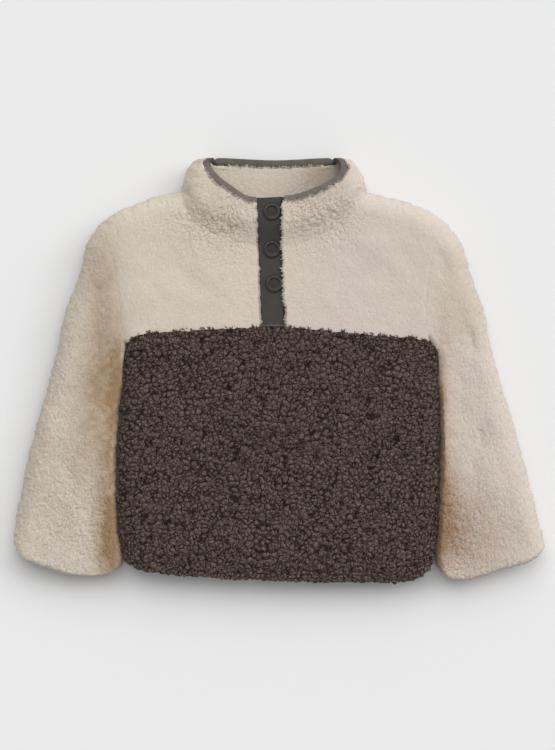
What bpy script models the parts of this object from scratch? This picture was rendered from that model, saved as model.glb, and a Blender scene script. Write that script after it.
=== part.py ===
"""Half-placket pullover of sherpa fleece, toddler size, laid flat on its back.

The garment lies in the XY plane with its front up: +Y runs from the hem to the collar, +X to the side
that is on the right seen from above, and Z is the height above the surface it rests on. All sizes in
this file are millimetres; the solids are made in metres.

Each piece of cloth is a wall between two grids of points. The outer grid lies on the garment's outer
surface, and the inner one is the same grid moved into the cloth. The outer surface is worked out from
the flat outline: a level top (or a flat underside) that turns down (or up) in a quarter ellipse at each
folded edge, so the front and the back meet halfway at the sides as in a stuffed tube.
"""

import math

import bpy
import numpy as np

MM = 0.001

# ---------------------------------------------------------------- driving sizes
CLOTH = 5.2            # body and sleeve cloth, pile and knit together
TURNED = 7.0           # the same where a hem or cuff is turned up inside
PRESSED = 4.7          # the sleeve's cloth where the body lies on it
TURN_UP = 20.0         # height of the turned hem and cuffs
TURN_STEP = 4.0        # length over which the turned cloth steps down to a single layer
EDGE_ROUND = 3.0       # how far up from a turned edge it is rounded
EDGE_THIN = 1.8        # how much each face is drawn in at that edge
GAP = 0.3              # clearance between two pieces that meet
SEAM_DIP = 1.2         # how deep a seam draws the surface in
SEAM_REACH = 6.0       # and how far from the seam the surface is level again

BODY_RISE = 32.0       # height of the chest over the resting surface
BODY_HALF = 130.0      # the level top falls to the sleeves' height from here outward
BODY_TO_SLEEVE = 50.0  # and has reached it this much further out

TUCK = 17.0            # how far the sleeve goes under the body
TUCK_START = 26.0      # it begins to go under this far below the arm
TUCK_RUN = 55.0        # and is fully under this much lower down
TUCK_END = 60.0        # it comes out again over this length above the cuff
BESIDE = 1.3           # gap from sleeve to body just under the arm
BESIDE_RUN = 8.0       # and the length in which that gap opens
TUCKED = 10.8          # height of the flattened sleeve under the side of the body
TUCKED_IN = 8.0        # it is wholly flat this far inside the body's side
TUCKED_SLOPE = 44.0    # and back at its own height this much further out
TUCKED_RUN = 34.0      # the flattening grows over this length below the arm
LIFT = 12.2            # underside of the body where it lies over the sleeve
LIFT_IN = 54.0         # it begins to rise this far inside the body's side
LIFT_SLOPE = 34.0      # and is fully up this much further out
LIFT_RUN = 26.0        # the lift grows over this length below the arm

COLLAR_LAYER = 5.0     # each of the two collar layers
COLLAR_RISE = 6.5      # how much higher the stand collar stands than the yoke
COLLAR_RUN = 26.0      # length above the neck seam in which it rises
STRIP_DEPTH = 1.5      # the placket strip lies this far below the pile
STRIP_THICK = 2.8
UNDERLAP_SHOWS = 2.4   # the overlap stops this far short, where a sliver of the underlap shows
UNDERLAP_SHORT = 1.4   # the underlap stops this far short on the other side
STRIP_TOP_TRIM = 0.4   # the strips stop this far below the collar's edge line
NECK_TRIM = 0.25       # the collar's layers stop this far above the neck seam
BINDING_DEEP = 7.0     # how far the binding reaches down each side of the collar
BINDING_CLOTH = 0.9
BINDING_EASE = 5.0     # the collar narrows to the binding over this length
RIM_SQUEEZE = 3.1      # the collar's outer layer is pressed in this much under the binding
RIM_CLOTH = 1.7        # each layer's thickness there
RIM_DROP = 1.4         # the layers end this far below the top of the bound edge
RIM_CROWN = 0.8        # how far the binding's rounded top rises over the collar's edge line

SNAP_DIAMETER = 15.0
SNAP_HEIGHT = 2.8
SNAP_RIM = 1.7         # width of the raised rim
SNAP_RECESS = 0.8      # depth of the dished centre
SNAP_SIDES = 24

# ---------------------------------------------------------------- the flat outline, x and y
# One row of knots for each line on the garment; LEFT is the -X side.
NECK_POINT = {"left": (-95.5, 171.0), "right": (83.0, 170.0)}
SHOULDER_TIP = {"left": (-174.5, 138.0), "right": (159.0, 140.5)}
UNDERARM = {"left": (-148.0, 26.0), "right": (143.0, 28.0)}
COLLAR_TIP = {"left": (-79.0, 202.5), "right": (64.0, 202.5)}
CUFF_OUTER = {"left": (-256.0, -166.0), "right": (252.0, -166.0)}
HEM_CORNER = {"left": (-150.0, -183.0), "right": (147.5, -183.0)}
PLACKET_TOP = {"left": (-22.5, 163.2), "right": (3.6, 163.8)}
PLACKET_NECK = {"left": (-21.6, 118.0), "right": (2.6, 116.6)}
PLACKET_END = {"left": (-19.0, 41.3), "right": (3.6, 41.0)}

SHOULDER = {
    "left": [(-129.0, 162.5), (-158.0, 150.5)],
    "right": [(112.0, 163.0), (142.0, 152.0)],
}
SLEEVE_OUTER = {
    "left": [(-185.5, 121.0), (-190.5, 100.0), (-206.0, 58.0), (-216.0, 17.0), (-230.0, -38.0),
             (-242.5, -90.0), (-251.5, -136.0)],
    "right": [(171.0, 122.0), (178.5, 100.0), (193.0, 56.0), (202.5, 16.0), (217.5, -38.0),
              (233.0, -90.0), (245.0, -136.0)],
}
ARMHOLE = {
    "left": [(-167.5, 124.0), (-159.8, 104.0), (-154.5, 70.0), (-152.0, 42.0)],
    "right": [(150.0, 127.0), (143.0, 98.0), (138.8, 66.0), (139.5, 44.0)],
}
BODY_SIDE = {
    "left": [(-151.5, 8.0), (-153.5, -25.0), (-156.0, -90.0), (-155.5, -145.0)],
    "right": [(149.5, 13.0), (152.5, -20.0), (154.0, -90.0), (152.0, -145.0)],
}
CUFF = {
    "left": [(-250.0, -179.5), (-227.0, -189.5), (-198.0, -197.5), (-172.0, -198.0)],
    "right": [(240.0, -181.5), (211.0, -191.5), (183.0, -200.8), (164.0, -201.0)],
}
CUFF_INNER = {"left": (-153.0, -190.0), "right": (150.5, -188.0)}
NECK_FRONT = {
    "left": [(-91.5, 156.0), (-84.0, 142.5), (-69.0, 131.5), (-44.0, 123.5)],
    "right": [(21.0, 121.0), (36.0, 127.5), (54.0, 137.5), (70.0, 150.0), (78.0, 159.5)],
}
COLLAR_SIDE = {
    "left": [(-93.6, 181.0), (-89.5, 190.5), (-84.5, 197.5)],
    "right": [(81.0, 180.0), (76.0, 190.0), (70.0, 197.5)],
}
COLLAR_FRONT_EDGE = {
    "left": [(-73.5, 190.5), (-61.0, 179.5), (-45.0, 169.6), (-32.0, 164.4)],
    "right": [(14.0, 165.4), (26.0, 168.8), (48.5, 178.3), (61.5, 189.8)],
}
BLOCK_SEAM = {
    "left": [(-138.0, 33.0), (-97.4, 37.4), (-55.0, 40.0)],
    "right": [(20.0, 40.2), (85.0, 34.5), (130.0, 30.5)],
}
HEM = [(-141.5, -189.0), (-117.0, -195.5), (-60.0, -200.5), (0.0, -202.0), (70.0, -203.3),
       (114.0, -203.5), (130.0, -200.8), (141.0, -194.0)]
BACK_NECK = [(-60.0, 160.0), (-5.0, 156.0), (48.0, 159.5)]
BACK_EDGE = [(-66.0, 203.6), (-5.0, 201.2), (49.0, 203.6)]

# Height of the top surface by station: y, over the body, over the sleeves
LEVELS = [
    ("y", "body", "sleeve"),
    (-204.0, 28.5, 23.0),
    (-180.0, 30.5, 24.5),
    (-120.0, 31.5, 26.5),
    (-40.0, BODY_RISE, 27.5),
    (40.0, BODY_RISE, 28.5),
    (110.0, 31.5, 30.0),
    (205.0, 31.5, 30.0),
]

# Folded edges: distance along the edge from its start, height of the fold, how far in from the edge
# the surface turns on the front and on the back.
OUTER_FOLD = [
    ("along", "height", "front", "back"),
    (0.0, 12.0, 16.0, 14.0),
    (60.0, 12.5, 19.0, 16.0),
    (330.0, 13.5, 20.0, 17.0),
    (400.0, 14.0, 21.0, 17.0),
    (450.0, 17.0, 22.0, 18.0),
    (490.0, 19.0, 22.0, 19.0),
]
BODY_FOLD = [
    ("along", "height", "front", "back"),
    (0.0, 14.5, 13.0, 14.0),
    (18.0, 18.0, 16.0, 12.0),
    (36.0, 21.5, 18.0, 10.0),
    (180.0, 21.0, 18.0, 10.0),
    (220.0, 20.5, 14.0, 10.0),
]
SLEEVE_FOLD = [
    ("along", "height", "front", "back"),
    (0.0, 14.5, 13.0, 14.0),
    (22.0, 9.5, 11.0, 11.0),
    (44.0, 5.4, 7.0, 7.0),
    (190.0, 5.4, 7.0, 7.0),
    (225.0, 6.5, 8.0, 8.0),
]

# ---------------------------------------------------------------- where the grids have their lines
QUARTER = [1.0 - math.cos(math.radians(a)) for a in (0, 22.5, 45, 67.5, 90)]
ARM_LENGTH = 118.0     # shoulder tip to underarm
SEAM_LENGTH = 128.0    # underarm to placket
BLOCK_LENGTH = 225.0   # hem to block seam
SLEEVE_LENGTH = 260.0  # armhole to cuff edge
SHOULDER_TURN = 18.0   # how far the fold reaches in at the shoulder
UNDERARM_TURN = 14.0   # and at the underarm


def spaced(length, fold_start, fold_end, middle):
    """Fractions 0 to 1 of a line, close together in the folds at its ends and even between them."""
    head = [fold_start * q / length for q in QUARTER] if fold_start else [0.0]
    tail = [1.0 - fold_end * q / length for q in reversed(QUARTER)] if fold_end else [1.0]
    between = np.linspace(head[-1], tail[0], middle + 1)[1:-1]
    return np.array(head + list(between) + tail)


ARM_LINES = spaced(ARM_LENGTH, SHOULDER_TURN, UNDERARM_TURN, 5)
SEAM_LINES = spaced(SEAM_LENGTH, UNDERARM_TURN, 0.0, 5)
STRIP_LINES = np.array([0.0, 0.5, 1.0])
YOKE_ROWS = np.array([0.0, 0.07, 0.24, 0.44, 0.66, 0.9, 1.0])
BLOCK_ROWS = np.array([0.0, EDGE_ROUND, TURN_UP, TURN_UP + TURN_STEP, 52.0, 82.0, 112.0, 142.0, 172.0,
                       198.0, BLOCK_LENGTH - SEAM_REACH, BLOCK_LENGTH]) / BLOCK_LENGTH
SLEEVE_ROWS = np.array([0.0, SEAM_REACH, 15.0, 25.0, 38.0, 56.0, 80.0, 106.0, 132.0, 160.0, 188.0, 214.0,
                        SLEEVE_LENGTH - TURN_UP - TURN_STEP, SLEEVE_LENGTH - TURN_UP,
                        SLEEVE_LENGTH - EDGE_ROUND, SLEEVE_LENGTH]) / SLEEVE_LENGTH
NECK_SHARE = 0.42      # the armhole's share of the neck seam in the yoke's grid
BACK_ARM = 0.25        # each armhole's share of the back yoke's outer edge
SEAM_HALF = 0.46       # each half's share of the block seam; the placket's foot has the rest
COLLAR_SHARE = 0.37    # the collar's share of the placket's length


# ---------------------------------------------------------------- plan curves
class Curve:
    """A smooth line through knots, read by the fraction of its length."""

    def __init__(self, knots, steps=12):
        p = np.array(knots, float)
        ends = np.vstack([2 * p[0] - p[1], p, 2 * p[-1] - p[-2]])
        t = np.concatenate([[0], np.cumsum(np.sqrt(np.linalg.norm(np.diff(ends, axis=0), axis=1)))])
        dense = []
        for k in range(1, len(ends) - 2):
            s = np.linspace(t[k], t[k + 1], steps, endpoint=False)[:, None]
            a = [self.blend(ends[i], ends[i + 1], t[i], t[i + 1], s) for i in (k - 1, k, k + 1)]
            b = [self.blend(a[i], a[i + 1], t[k - 1 + i], t[k + 1 + i], s) for i in (0, 1)]
            dense.append(self.blend(b[0], b[1], t[k], t[k + 1], s))
        self.points = np.vstack(dense + [p[-1:]])
        self.length = np.concatenate(
            [[0], np.cumsum(np.linalg.norm(np.diff(self.points, axis=0), axis=1))]
        )

    @staticmethod
    def blend(a, b, ta, tb, s):
        return ((tb - s) * a + (s - ta) * b) / (tb - ta)

    def __call__(self, fraction):
        s = np.asarray(fraction) * self.length[-1]
        return np.stack([np.interp(s, self.length, self.points[:, k]) for k in (0, 1)], axis=-1)


def joined(pieces, shares):
    """One line made of several, each taking its share of the fraction from 0 to 1."""
    ends = np.concatenate([[0.0], np.cumsum(shares)])

    def read(fraction):
        f = np.asarray(fraction, float)
        out = np.zeros(f.shape + (2,))
        for piece, start, end in zip(pieces, ends[:-1], ends[1:]):
            here = (f >= start - 1e-9) & (f <= end + 1e-9)
            out[here] = piece(np.clip((f[here] - start) / (end - start), 0.0, 1.0))
        return out

    return read


def backwards(line):
    return lambda fraction: line(1.0 - np.asarray(fraction))


def coons(u, v, low, high, first, last):
    """A grid of plan points inside four lines: low and high run along u, first and last along v."""
    u = np.asarray(u, float)
    v = np.asarray(v, float)
    uu = u[:, None, None]
    vv = v[None, :, None]
    sides = (1 - vv) * low(u)[:, None] + vv * high(u)[:, None]
    ends = (1 - uu) * first(v)[None] + uu * last(v)[None]
    a, b = low(np.array([0.0, 1.0]))
    c, d = high(np.array([0.0, 1.0]))
    corners = (1 - vv) * ((1 - uu) * a + uu * b) + vv * ((1 - uu) * c + uu * d)
    return sides + ends - corners


def smooth_step(x):
    x = np.clip(x, 0.0, 1.0)
    return x * x * (3 - 2 * x)


def column(table, name):
    k = table[0].index(name)
    return np.array([row[k] for row in table[1:]])


# ---------------------------------------------------------------- the outline's lines
def tucked_edge(side):
    """The inner edge of the sleeve: beside the body under the arm, then some way beneath it."""
    sign = -1.0 if side == "left" else 1.0
    body = LINES[side]["side"]
    y = np.linspace(UNDERARM[side][1], CUFF_INNER[side][1], 16)
    x = side_x(side, y)
    below = UNDERARM[side][1] - y
    above = y - CUFF_INNER[side][1]
    beside = BESIDE * smooth_step(below / BESIDE_RUN)
    inside = smooth_step(above / TUCK_END)
    under = (TUCK + BESIDE) * smooth_step((below - TUCK_START) / TUCK_RUN) * inside
    x_end = CUFF_INNER[side][0] - body(1.0)[0]
    near_end = 1.0 - inside
    points = np.stack([x + sign * (beside - under) + x_end * near_end, y], axis=1)
    points[0] = UNDERARM[side]
    points[-1] = CUFF_INNER[side]
    return Curve(points)


def side_x(side, y):
    """Where the side of the body is at a height y; straight on above the arm and below the hem."""
    points = LINES[side]["side"].points
    return np.interp(y, points[::-1, 1], points[::-1, 0])


LINES = {}
for SIDE in ("left", "right"):
    LINES[SIDE] = {
        "shoulder": Curve([NECK_POINT[SIDE], *SHOULDER[SIDE], SHOULDER_TIP[SIDE]]),
        "outer": Curve([SHOULDER_TIP[SIDE], *SLEEVE_OUTER[SIDE], CUFF_OUTER[SIDE]]),
        "armhole": Curve([SHOULDER_TIP[SIDE], *ARMHOLE[SIDE], UNDERARM[SIDE]]),
        "side": Curve([UNDERARM[SIDE], *BODY_SIDE[SIDE], HEM_CORNER[SIDE]]),
        "cuff": Curve([CUFF_OUTER[SIDE], *CUFF[SIDE], CUFF_INNER[SIDE]]),
        "collar": Curve([NECK_POINT[SIDE], *COLLAR_SIDE[SIDE], COLLAR_TIP[SIDE]]),
        "placket": Curve([PLACKET_NECK[SIDE], PLACKET_END[SIDE]]),
        "placket_collar": Curve([PLACKET_NECK[SIDE], PLACKET_TOP[SIDE]]),
    }
    NECK_KNOTS = [NECK_POINT[SIDE], *NECK_FRONT[SIDE], PLACKET_NECK[SIDE]]
    EDGE_KNOTS = [COLLAR_TIP[SIDE], *COLLAR_FRONT_EDGE[SIDE], PLACKET_TOP[SIDE]]
    SEAM_KNOTS = [UNDERARM[SIDE], *BLOCK_SEAM[SIDE], PLACKET_END[SIDE]]
    if SIDE == "right":
        NECK_KNOTS[1:-1] = NECK_KNOTS[-2:0:-1]
        EDGE_KNOTS[1:-1] = EDGE_KNOTS[-2:0:-1]
        SEAM_KNOTS[1:-1] = SEAM_KNOTS[-2:0:-1]
    LINES[SIDE]["neck"] = Curve(NECK_KNOTS)
    LINES[SIDE]["edge"] = Curve(EDGE_KNOTS)
    LINES[SIDE]["seam"] = Curve(SEAM_KNOTS)
    LINES[SIDE]["tucked"] = tucked_edge(SIDE)

HEM_LINE = Curve([HEM_CORNER["left"], *HEM, HEM_CORNER["right"]])
BACK_NECK_LINE = Curve([NECK_POINT["left"], *BACK_NECK, NECK_POINT["right"]])
BACK_EDGE_LINE = Curve([COLLAR_TIP["left"], *BACK_EDGE, COLLAR_TIP["right"]])
STRIP_SEAM = Curve([PLACKET_END["left"], PLACKET_END["right"]])

OUTLINE = np.vstack([line.points for side in LINES.values() for line in side.values()]
                    + [HEM_LINE.points, BACK_EDGE_LINE.points])
CENTRE = (OUTLINE.min(axis=0) + OUTLINE.max(axis=0)) / 2


# ---------------------------------------------------------------- the outer surface
class Fold:
    """A folded edge. It knows, for any plan point, how far off it is and which way is inward.

    The edge runs straight on past an open end of the tube. An end at the underarm point stops there,
    and start_normal is the way into the cloth at that point."""

    def __init__(self, points, table, inward, start_normal=None):
        head = points[:1] + (points[0] - points[2]) * 12.0
        tail = points[-1:] + (points[-1] - points[-3]) * 12.0
        self.points = np.vstack(([head] if start_normal is None else []) + [points, tail])
        step = np.diff(self.points, axis=0)
        self.step = step
        self.square = (step ** 2).sum(axis=1)
        self.along = np.concatenate([[0], np.cumsum(np.sqrt(self.square))])
        if start_normal is None:
            self.along -= self.along[1]
        flat = np.stack([-step[:, 1], step[:, 0]], axis=1) / np.sqrt(self.square)[:, None]
        flat *= inward
        normal = np.vstack([flat[:1], (flat[:-1] + flat[1:]) / 2, flat[-1:]])
        if start_normal is not None:
            normal[0] = start_normal
        self.normal = normal / np.linalg.norm(normal, axis=1)[:, None]
        self.table = table

    def near(self, xy, face):
        """Distance, inward direction, height of the fold and its reach for each plan point."""
        to = xy[:, None] - self.points[None, :-1]
        t = np.clip((to * self.step).sum(axis=2) / self.square, 0.0, 1.0)
        away = to - t[..., None] * self.step
        k = (away ** 2).sum(axis=2).argmin(axis=1)
        row = np.arange(len(xy))
        t = t[row, k][:, None]
        away = away[row, k]
        distance = np.linalg.norm(away, axis=1)
        toward = away + 0.2 * ((1 - t) * self.normal[k] + t * self.normal[k + 1])
        toward /= np.linalg.norm(toward, axis=1)[:, None]
        at = self.along[k] + t[:, 0] * (self.along[k + 1] - self.along[k])
        read = [np.interp(at, column(self.table, "along"), column(self.table, name))
                for name in ("height", face)]
        return distance, toward, read[0], read[1]


def outer_fold(side):
    parts = [LINES[side]["outer"].points[::-1], LINES[side]["shoulder"].points[::-1][1:],
             LINES[side]["collar"].points[1:]]
    return Fold(np.vstack(parts), OUTER_FOLD, -1.0 if side == "left" else 1.0)


def folds_of(piece, sides=("left", "right")):
    """The folded edges that shape a piece: of the block, the yoke or a sleeve."""
    found = []
    for side in sides:
        turn = 1.0 if side == "left" else -1.0
        way_in = {"block": (turn, 0.0), "yoke": (turn, 1.0), "sleeve": (-turn, 1.0)}[piece]
        found.append(outer_fold(side))
        if piece == "sleeve":
            found.append(Fold(LINES[side]["tucked"].points, SLEEVE_FOLD, -turn, way_in))
        else:
            found.append(Fold(LINES[side]["side"].points, BODY_FOLD, turn, way_in))
    return found


BLOCK_FOLDS = folds_of("block")
YOKE_FOLDS = folds_of("yoke")


def side_of(xy):
    return np.where(xy[:, 0] < 0, 0, 1)


def beyond_side(xy):
    """How far each point lies outside the side of the body, and how far below the arm."""
    left = side_of(xy) == 0
    y = xy[:, 1]
    beyond = np.where(left, side_x("left", y) - xy[:, 0], xy[:, 0] - side_x("right", y))
    below = np.where(left, UNDERARM["left"][1], UNDERARM["right"][1]) - y
    return beyond, below


def top_level(xy):
    body, sleeve = (np.interp(xy[:, 1], column(LEVELS, "y"), column(LEVELS, name))
                    for name in ("body", "sleeve"))
    share = smooth_step((np.abs(xy[:, 0]) - BODY_HALF) / BODY_TO_SLEEVE)
    return body + (sleeve - body) * share


def sleeve_level(xy):
    """The sleeve's top, pressed flat where the body lies on it."""
    level = top_level(xy)
    beyond, below = beyond_side(xy)
    beneath = 1.0 - smooth_step((beyond + TUCKED_IN) / TUCKED_SLOPE)
    pressed = beneath * smooth_step(below / TUCKED_RUN)
    return level - (level - TUCKED) * pressed


def under_level(xy):
    """The body's underside: flat, and lifted where it lies over the sleeves."""
    beyond, below = beyond_side(xy)
    return LIFT * smooth_step((LIFT_IN + beyond) / LIFT_SLOPE) * smooth_step(below / LIFT_RUN)


def flat_level(xy):
    return np.zeros(len(xy))


def surface(plan, face, level, folds, rise=0.0):
    """Outer points of a plan grid, and at each the direction into the cloth."""
    shape = plan.shape[:-1]
    xy = plan.reshape(-1, 2)
    plateau = level(xy) + np.broadcast_to(rise, shape).reshape(-1)
    z = plateau.copy()
    push = np.zeros_like(xy)
    upright = np.ones(len(xy))
    for fold in folds:
        distance, toward, height, reach = fold.near(xy, face)
        turn = np.clip(1.0 - distance / reach, 0.0, 1.0)
        z += (height - plateau) * (1.0 - np.sqrt(1.0 - turn ** 2))
        push += turn[:, None] * toward
        upright *= np.sqrt(1.0 - turn ** 2)
    down = -1.0 if face == "front" else 1.0
    inward = np.column_stack([push, down * upright])
    outer = np.column_stack([xy, z])
    return outer.reshape(shape + (3,)), inward.reshape(shape + (3,))


# ---------------------------------------------------------------- walls
class Wall:
    """The two grids of a piece of cloth, before they are made a solid."""

    def __init__(self, outer, inward, low, high):
        self.base = outer
        self.grids = [outer + np.asarray(low)[..., None] * inward,
                      outer + np.asarray(high)[..., None] * inward]

    def edge(self, name):
        return {"u0": np.s_[0, :], "u1": np.s_[-1, :], "v0": np.s_[:, 0], "v1": np.s_[:, -1]}[name]

    def trim(self, name, gap=GAP / 2):
        """Moves an edge inwards in plan by a seam's half gap, with mitred corners."""
        pick = self.edge(name)
        inner = {"u0": np.s_[1, :], "u1": np.s_[-2, :], "v0": np.s_[:, 1], "v1": np.s_[:, -2]}[name]
        line = self.base[pick][:, :2]
        shift = gap * mitres(line, self.base[inner][:, :2] - line)
        for grid in self.grids:
            grid[pick][:, :2] += shift

    def trim_ring(self, half, gap=GAP / 2):
        """The same for the first ring of a tube whose front and back lie on one plan line."""
        line = self.base[:half, 0, :2]
        shift = gap * mitres(line, self.base[:half, 1, :2] - line)
        for grid in self.grids:
            grid[:, 0, :2] += np.concatenate([shift, shift[-2:0:-1]])

    def lift(self, name, amount):
        for grid in self.grids:
            grid[self.edge(name)][:, 2] += amount

    def rim(self, near, far, turned):
        """The faces that close a wall along its edge, each split across its shorter diagonal."""
        n = self.grids[0].shape[0] * self.grids[0].shape[1]
        points = np.concatenate([grid.reshape(-1, 3) for grid in self.grids])
        one_way = np.linalg.norm(points[near] - points[far + n], axis=1)
        other_way = np.linalg.norm(points[far] - points[near + n], axis=1)
        pairs = []
        for a, b, first in ((near, far, one_way <= other_way), (near, far, one_way > other_way)):
            a, b = a[first], b[first]
            if len(pairs) == 0:
                pairs += [np.stack([a, a + n, b + n], axis=-1), np.stack([a, b + n, b], axis=-1)]
            else:
                pairs += [np.stack([a, a + n, b], axis=-1), np.stack([b, a + n, b + n], axis=-1)]
        faces = np.concatenate(pairs)
        return faces[:, ::-1] if turned else faces

    def solid(self, name, colour, finish, around=False):
        top, bottom = self.grids
        nu, nv = top.shape[:2]
        points = np.concatenate([top.reshape(-1, 3), bottom.reshape(-1, 3)])
        index = np.arange(nu * nv).reshape(nu, nv)
        if around:
            index = np.vstack([index, index[:1]])
        a, b, c, d = index[:-1, :-1], index[1:, :-1], index[1:, 1:], index[:-1, 1:]
        outer = np.concatenate([np.stack(t, axis=-1).reshape(-1, 3) for t in ((a, b, c), (a, c, d))])
        n = nu * nv
        faces = [outer, outer[:, ::-1] + n]
        rims = [(index[:, 0], False), (index[:, -1], True)]
        if not around:
            rims += [(index[0, :], True), (index[-1, :], False)]
        faces += [self.rim(line[:-1], line[1:], turned) for line, turned in rims]
        return make_object(name, points, np.concatenate(faces), colour, finish)


def mitres(line, toward):
    """Unit normals of a plan line on the side that toward points to, lengthened at its corners."""
    step = np.diff(line, axis=0)
    flat = np.stack([-step[:, 1], step[:, 0]], axis=1)
    flat /= np.maximum(np.linalg.norm(flat, axis=1), 1e-6)[:, None]
    flat *= np.where((flat * (toward[:-1] + toward[1:])).sum(axis=1) < 0, -1.0, 1.0)[:, None]
    before = np.vstack([flat[:1], flat])
    after = np.vstack([flat, flat[-1:]])
    return (before + after) / (1.0 + (before * after).sum(axis=1))[:, None]


def make_object(name, points, faces, colour, finish):
    """A mesh object of one closed body, its faces outward, centred on the garment's flat outline."""
    place = (points - np.array([CENTRE[0], CENTRE[1], 0.0])) * MM
    corners = place[faces]
    if np.einsum("ij,ij->i", corners[:, 0], np.cross(corners[:, 1], corners[:, 2])).sum() < 0:
        faces = faces[:, ::-1]
    mesh = bpy.data.meshes.new(name)
    mesh.from_pydata(place.tolist(), [], faces.tolist())
    mesh.validate()
    mesh.update()
    item = bpy.data.objects.new(name, mesh)
    bpy.context.scene.collection.objects.link(item)
    mesh.shade_smooth()
    mesh.set_sharp_from_angle(angle=math.radians(50))
    mesh.materials.append(material(name, colour, finish))
    return item


def material(name, colour, finish):
    """A Principled material: colour and roughness; cloth has no metal in it."""
    roughness, metallic = finish
    mat = bpy.data.materials.new(name)
    mat.use_nodes = True
    shader = mat.node_tree.nodes["Principled BSDF"]
    shader.inputs["Base Color"].default_value = (*colour, 1.0)
    shader.inputs["Roughness"].default_value = roughness
    shader.inputs["Metallic"].default_value = metallic
    mat.diffuse_color = (*colour, 1.0)
    return mat


CREAM = (0.66, 0.58, 0.48)
BROWN = (0.085, 0.062, 0.053)
TAUPE = (0.16, 0.135, 0.115)
WOVEN = (0.058, 0.052, 0.045)
SNAP_METAL = (0.06, 0.05, 0.043)
FLEECE = (0.95, 0.0)
TWILL = (0.8, 0.0)
LACQUER = (0.45, 0.6)


def depths(rows, seam_rows=(), turned_end=None):
    """Depth of the outer and the inner face for each row of a panel's grid."""
    low = np.zeros(rows)
    high = np.full(rows, CLOTH)
    for k in seam_rows:
        low[k] = SEAM_DIP
    if turned_end is not None:
        turned = slice(0, 3) if turned_end == 0 else slice(-3, None)
        high[turned] = TURNED
        low[turned_end] = EDGE_THIN
        high[turned_end] = TURNED - EDGE_THIN
    return low, high


# ---------------------------------------------------------------- the body
def seam_across():
    """The block seam from one underarm to the other, and the fractions of its grid lines."""
    foot = 1.0 - 2 * SEAM_HALF
    whole = joined([LINES["left"]["seam"], STRIP_SEAM, backwards(LINES["right"]["seam"])],
                   [SEAM_HALF, foot, SEAM_HALF])
    lines = np.concatenate([SEAM_HALF * SEAM_LINES, SEAM_HALF + foot * STRIP_LINES[1:-1],
                            1.0 - SEAM_HALF * SEAM_LINES[::-1]])
    return whole, lines


def body_block(face):
    """The dark lower block of the front or the back, from the hem up to the block seam."""
    seam, lines = seam_across()
    plan = coons(lines, BLOCK_ROWS, HEM_LINE, seam,
                 backwards(LINES["left"]["side"]), backwards(LINES["right"]["side"]))
    level = top_level if face == "front" else under_level
    outer, inward = surface(plan, face, level, BLOCK_FOLDS)
    low, high = depths(len(BLOCK_ROWS), seam_rows=[-1], turned_end=0)
    wall = Wall(outer, inward, low[None, :], high[None, :])
    wall.trim("v1")
    for edge in ("u0", "u1"):
        wall.lift(edge, GAP / 2 if face == "front" else -GAP / 2)
    return wall.solid("front_lower" if face == "front" else "back_lower", BROWN, FLEECE)


def yoke_lines():
    """Fractions along a front yoke's outer edge: the armhole, then half of the block seam."""
    return np.concatenate([0.5 * ARM_LINES, 0.5 + 0.5 * SEAM_LINES[1:]])


def neck_share(u):
    """The neck seam's fraction that belongs to a fraction of the yoke's outer edge."""
    return np.interp(u, [0.0, 0.5, 1.0], [0.0, NECK_SHARE, 1.0])


def front_yoke(side):
    lines = LINES[side]
    outside = joined([lines["armhole"], lines["seam"]], [0.5, 0.5])
    plan = coons(yoke_lines(), YOKE_ROWS, lambda u: lines["neck"](neck_share(u)), outside,
                 lines["shoulder"], lines["placket"])
    outer, inward = surface(plan, "front", top_level, YOKE_FOLDS)
    low, high = depths(len(YOKE_ROWS), seam_rows=[0, -1])
    wall = Wall(outer, inward, low[None, :], high[None, :])
    wall.trim("v1")
    wall.trim("v0")
    wall.trim("u1")
    wall.lift("u0", GAP / 2)
    return wall.solid("front_upper_" + side, CREAM, FLEECE)


def back_lines():
    """Fractions along the back yoke's outer edge: armhole, block seam, armhole."""
    across = seam_across()[1]
    return np.concatenate([BACK_ARM * ARM_LINES, BACK_ARM + (1 - 2 * BACK_ARM) * across[1:-1],
                           1.0 - BACK_ARM * ARM_LINES[::-1]])


def back_neck_share(u):
    """The back neck seam's fraction that belongs to a fraction of the back yoke's outer edge."""
    return np.interp(u, [0.0, BACK_ARM, 1.0 - BACK_ARM, 1.0],
                     [0.0, 0.5 * NECK_SHARE, 1.0 - 0.5 * NECK_SHARE, 1.0])


def back_yoke():
    outside = joined([LINES["left"]["armhole"], seam_across()[0],
                      backwards(LINES["right"]["armhole"])], [BACK_ARM, 1 - 2 * BACK_ARM, BACK_ARM])
    plan = coons(back_lines(), YOKE_ROWS, lambda u: BACK_NECK_LINE(back_neck_share(u)), outside,
                 LINES["left"]["shoulder"], LINES["right"]["shoulder"])
    outer, inward = surface(plan, "back", under_level, YOKE_FOLDS)
    low, high = depths(len(YOKE_ROWS), seam_rows=[0, -1])
    wall = Wall(outer, inward, low[None, :], high[None, :])
    wall.trim("v1")
    wall.trim("v0")
    wall.lift("u0", -GAP / 2)
    wall.lift("u1", -GAP / 2)
    return wall.solid("back_upper", CREAM, FLEECE)


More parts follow.
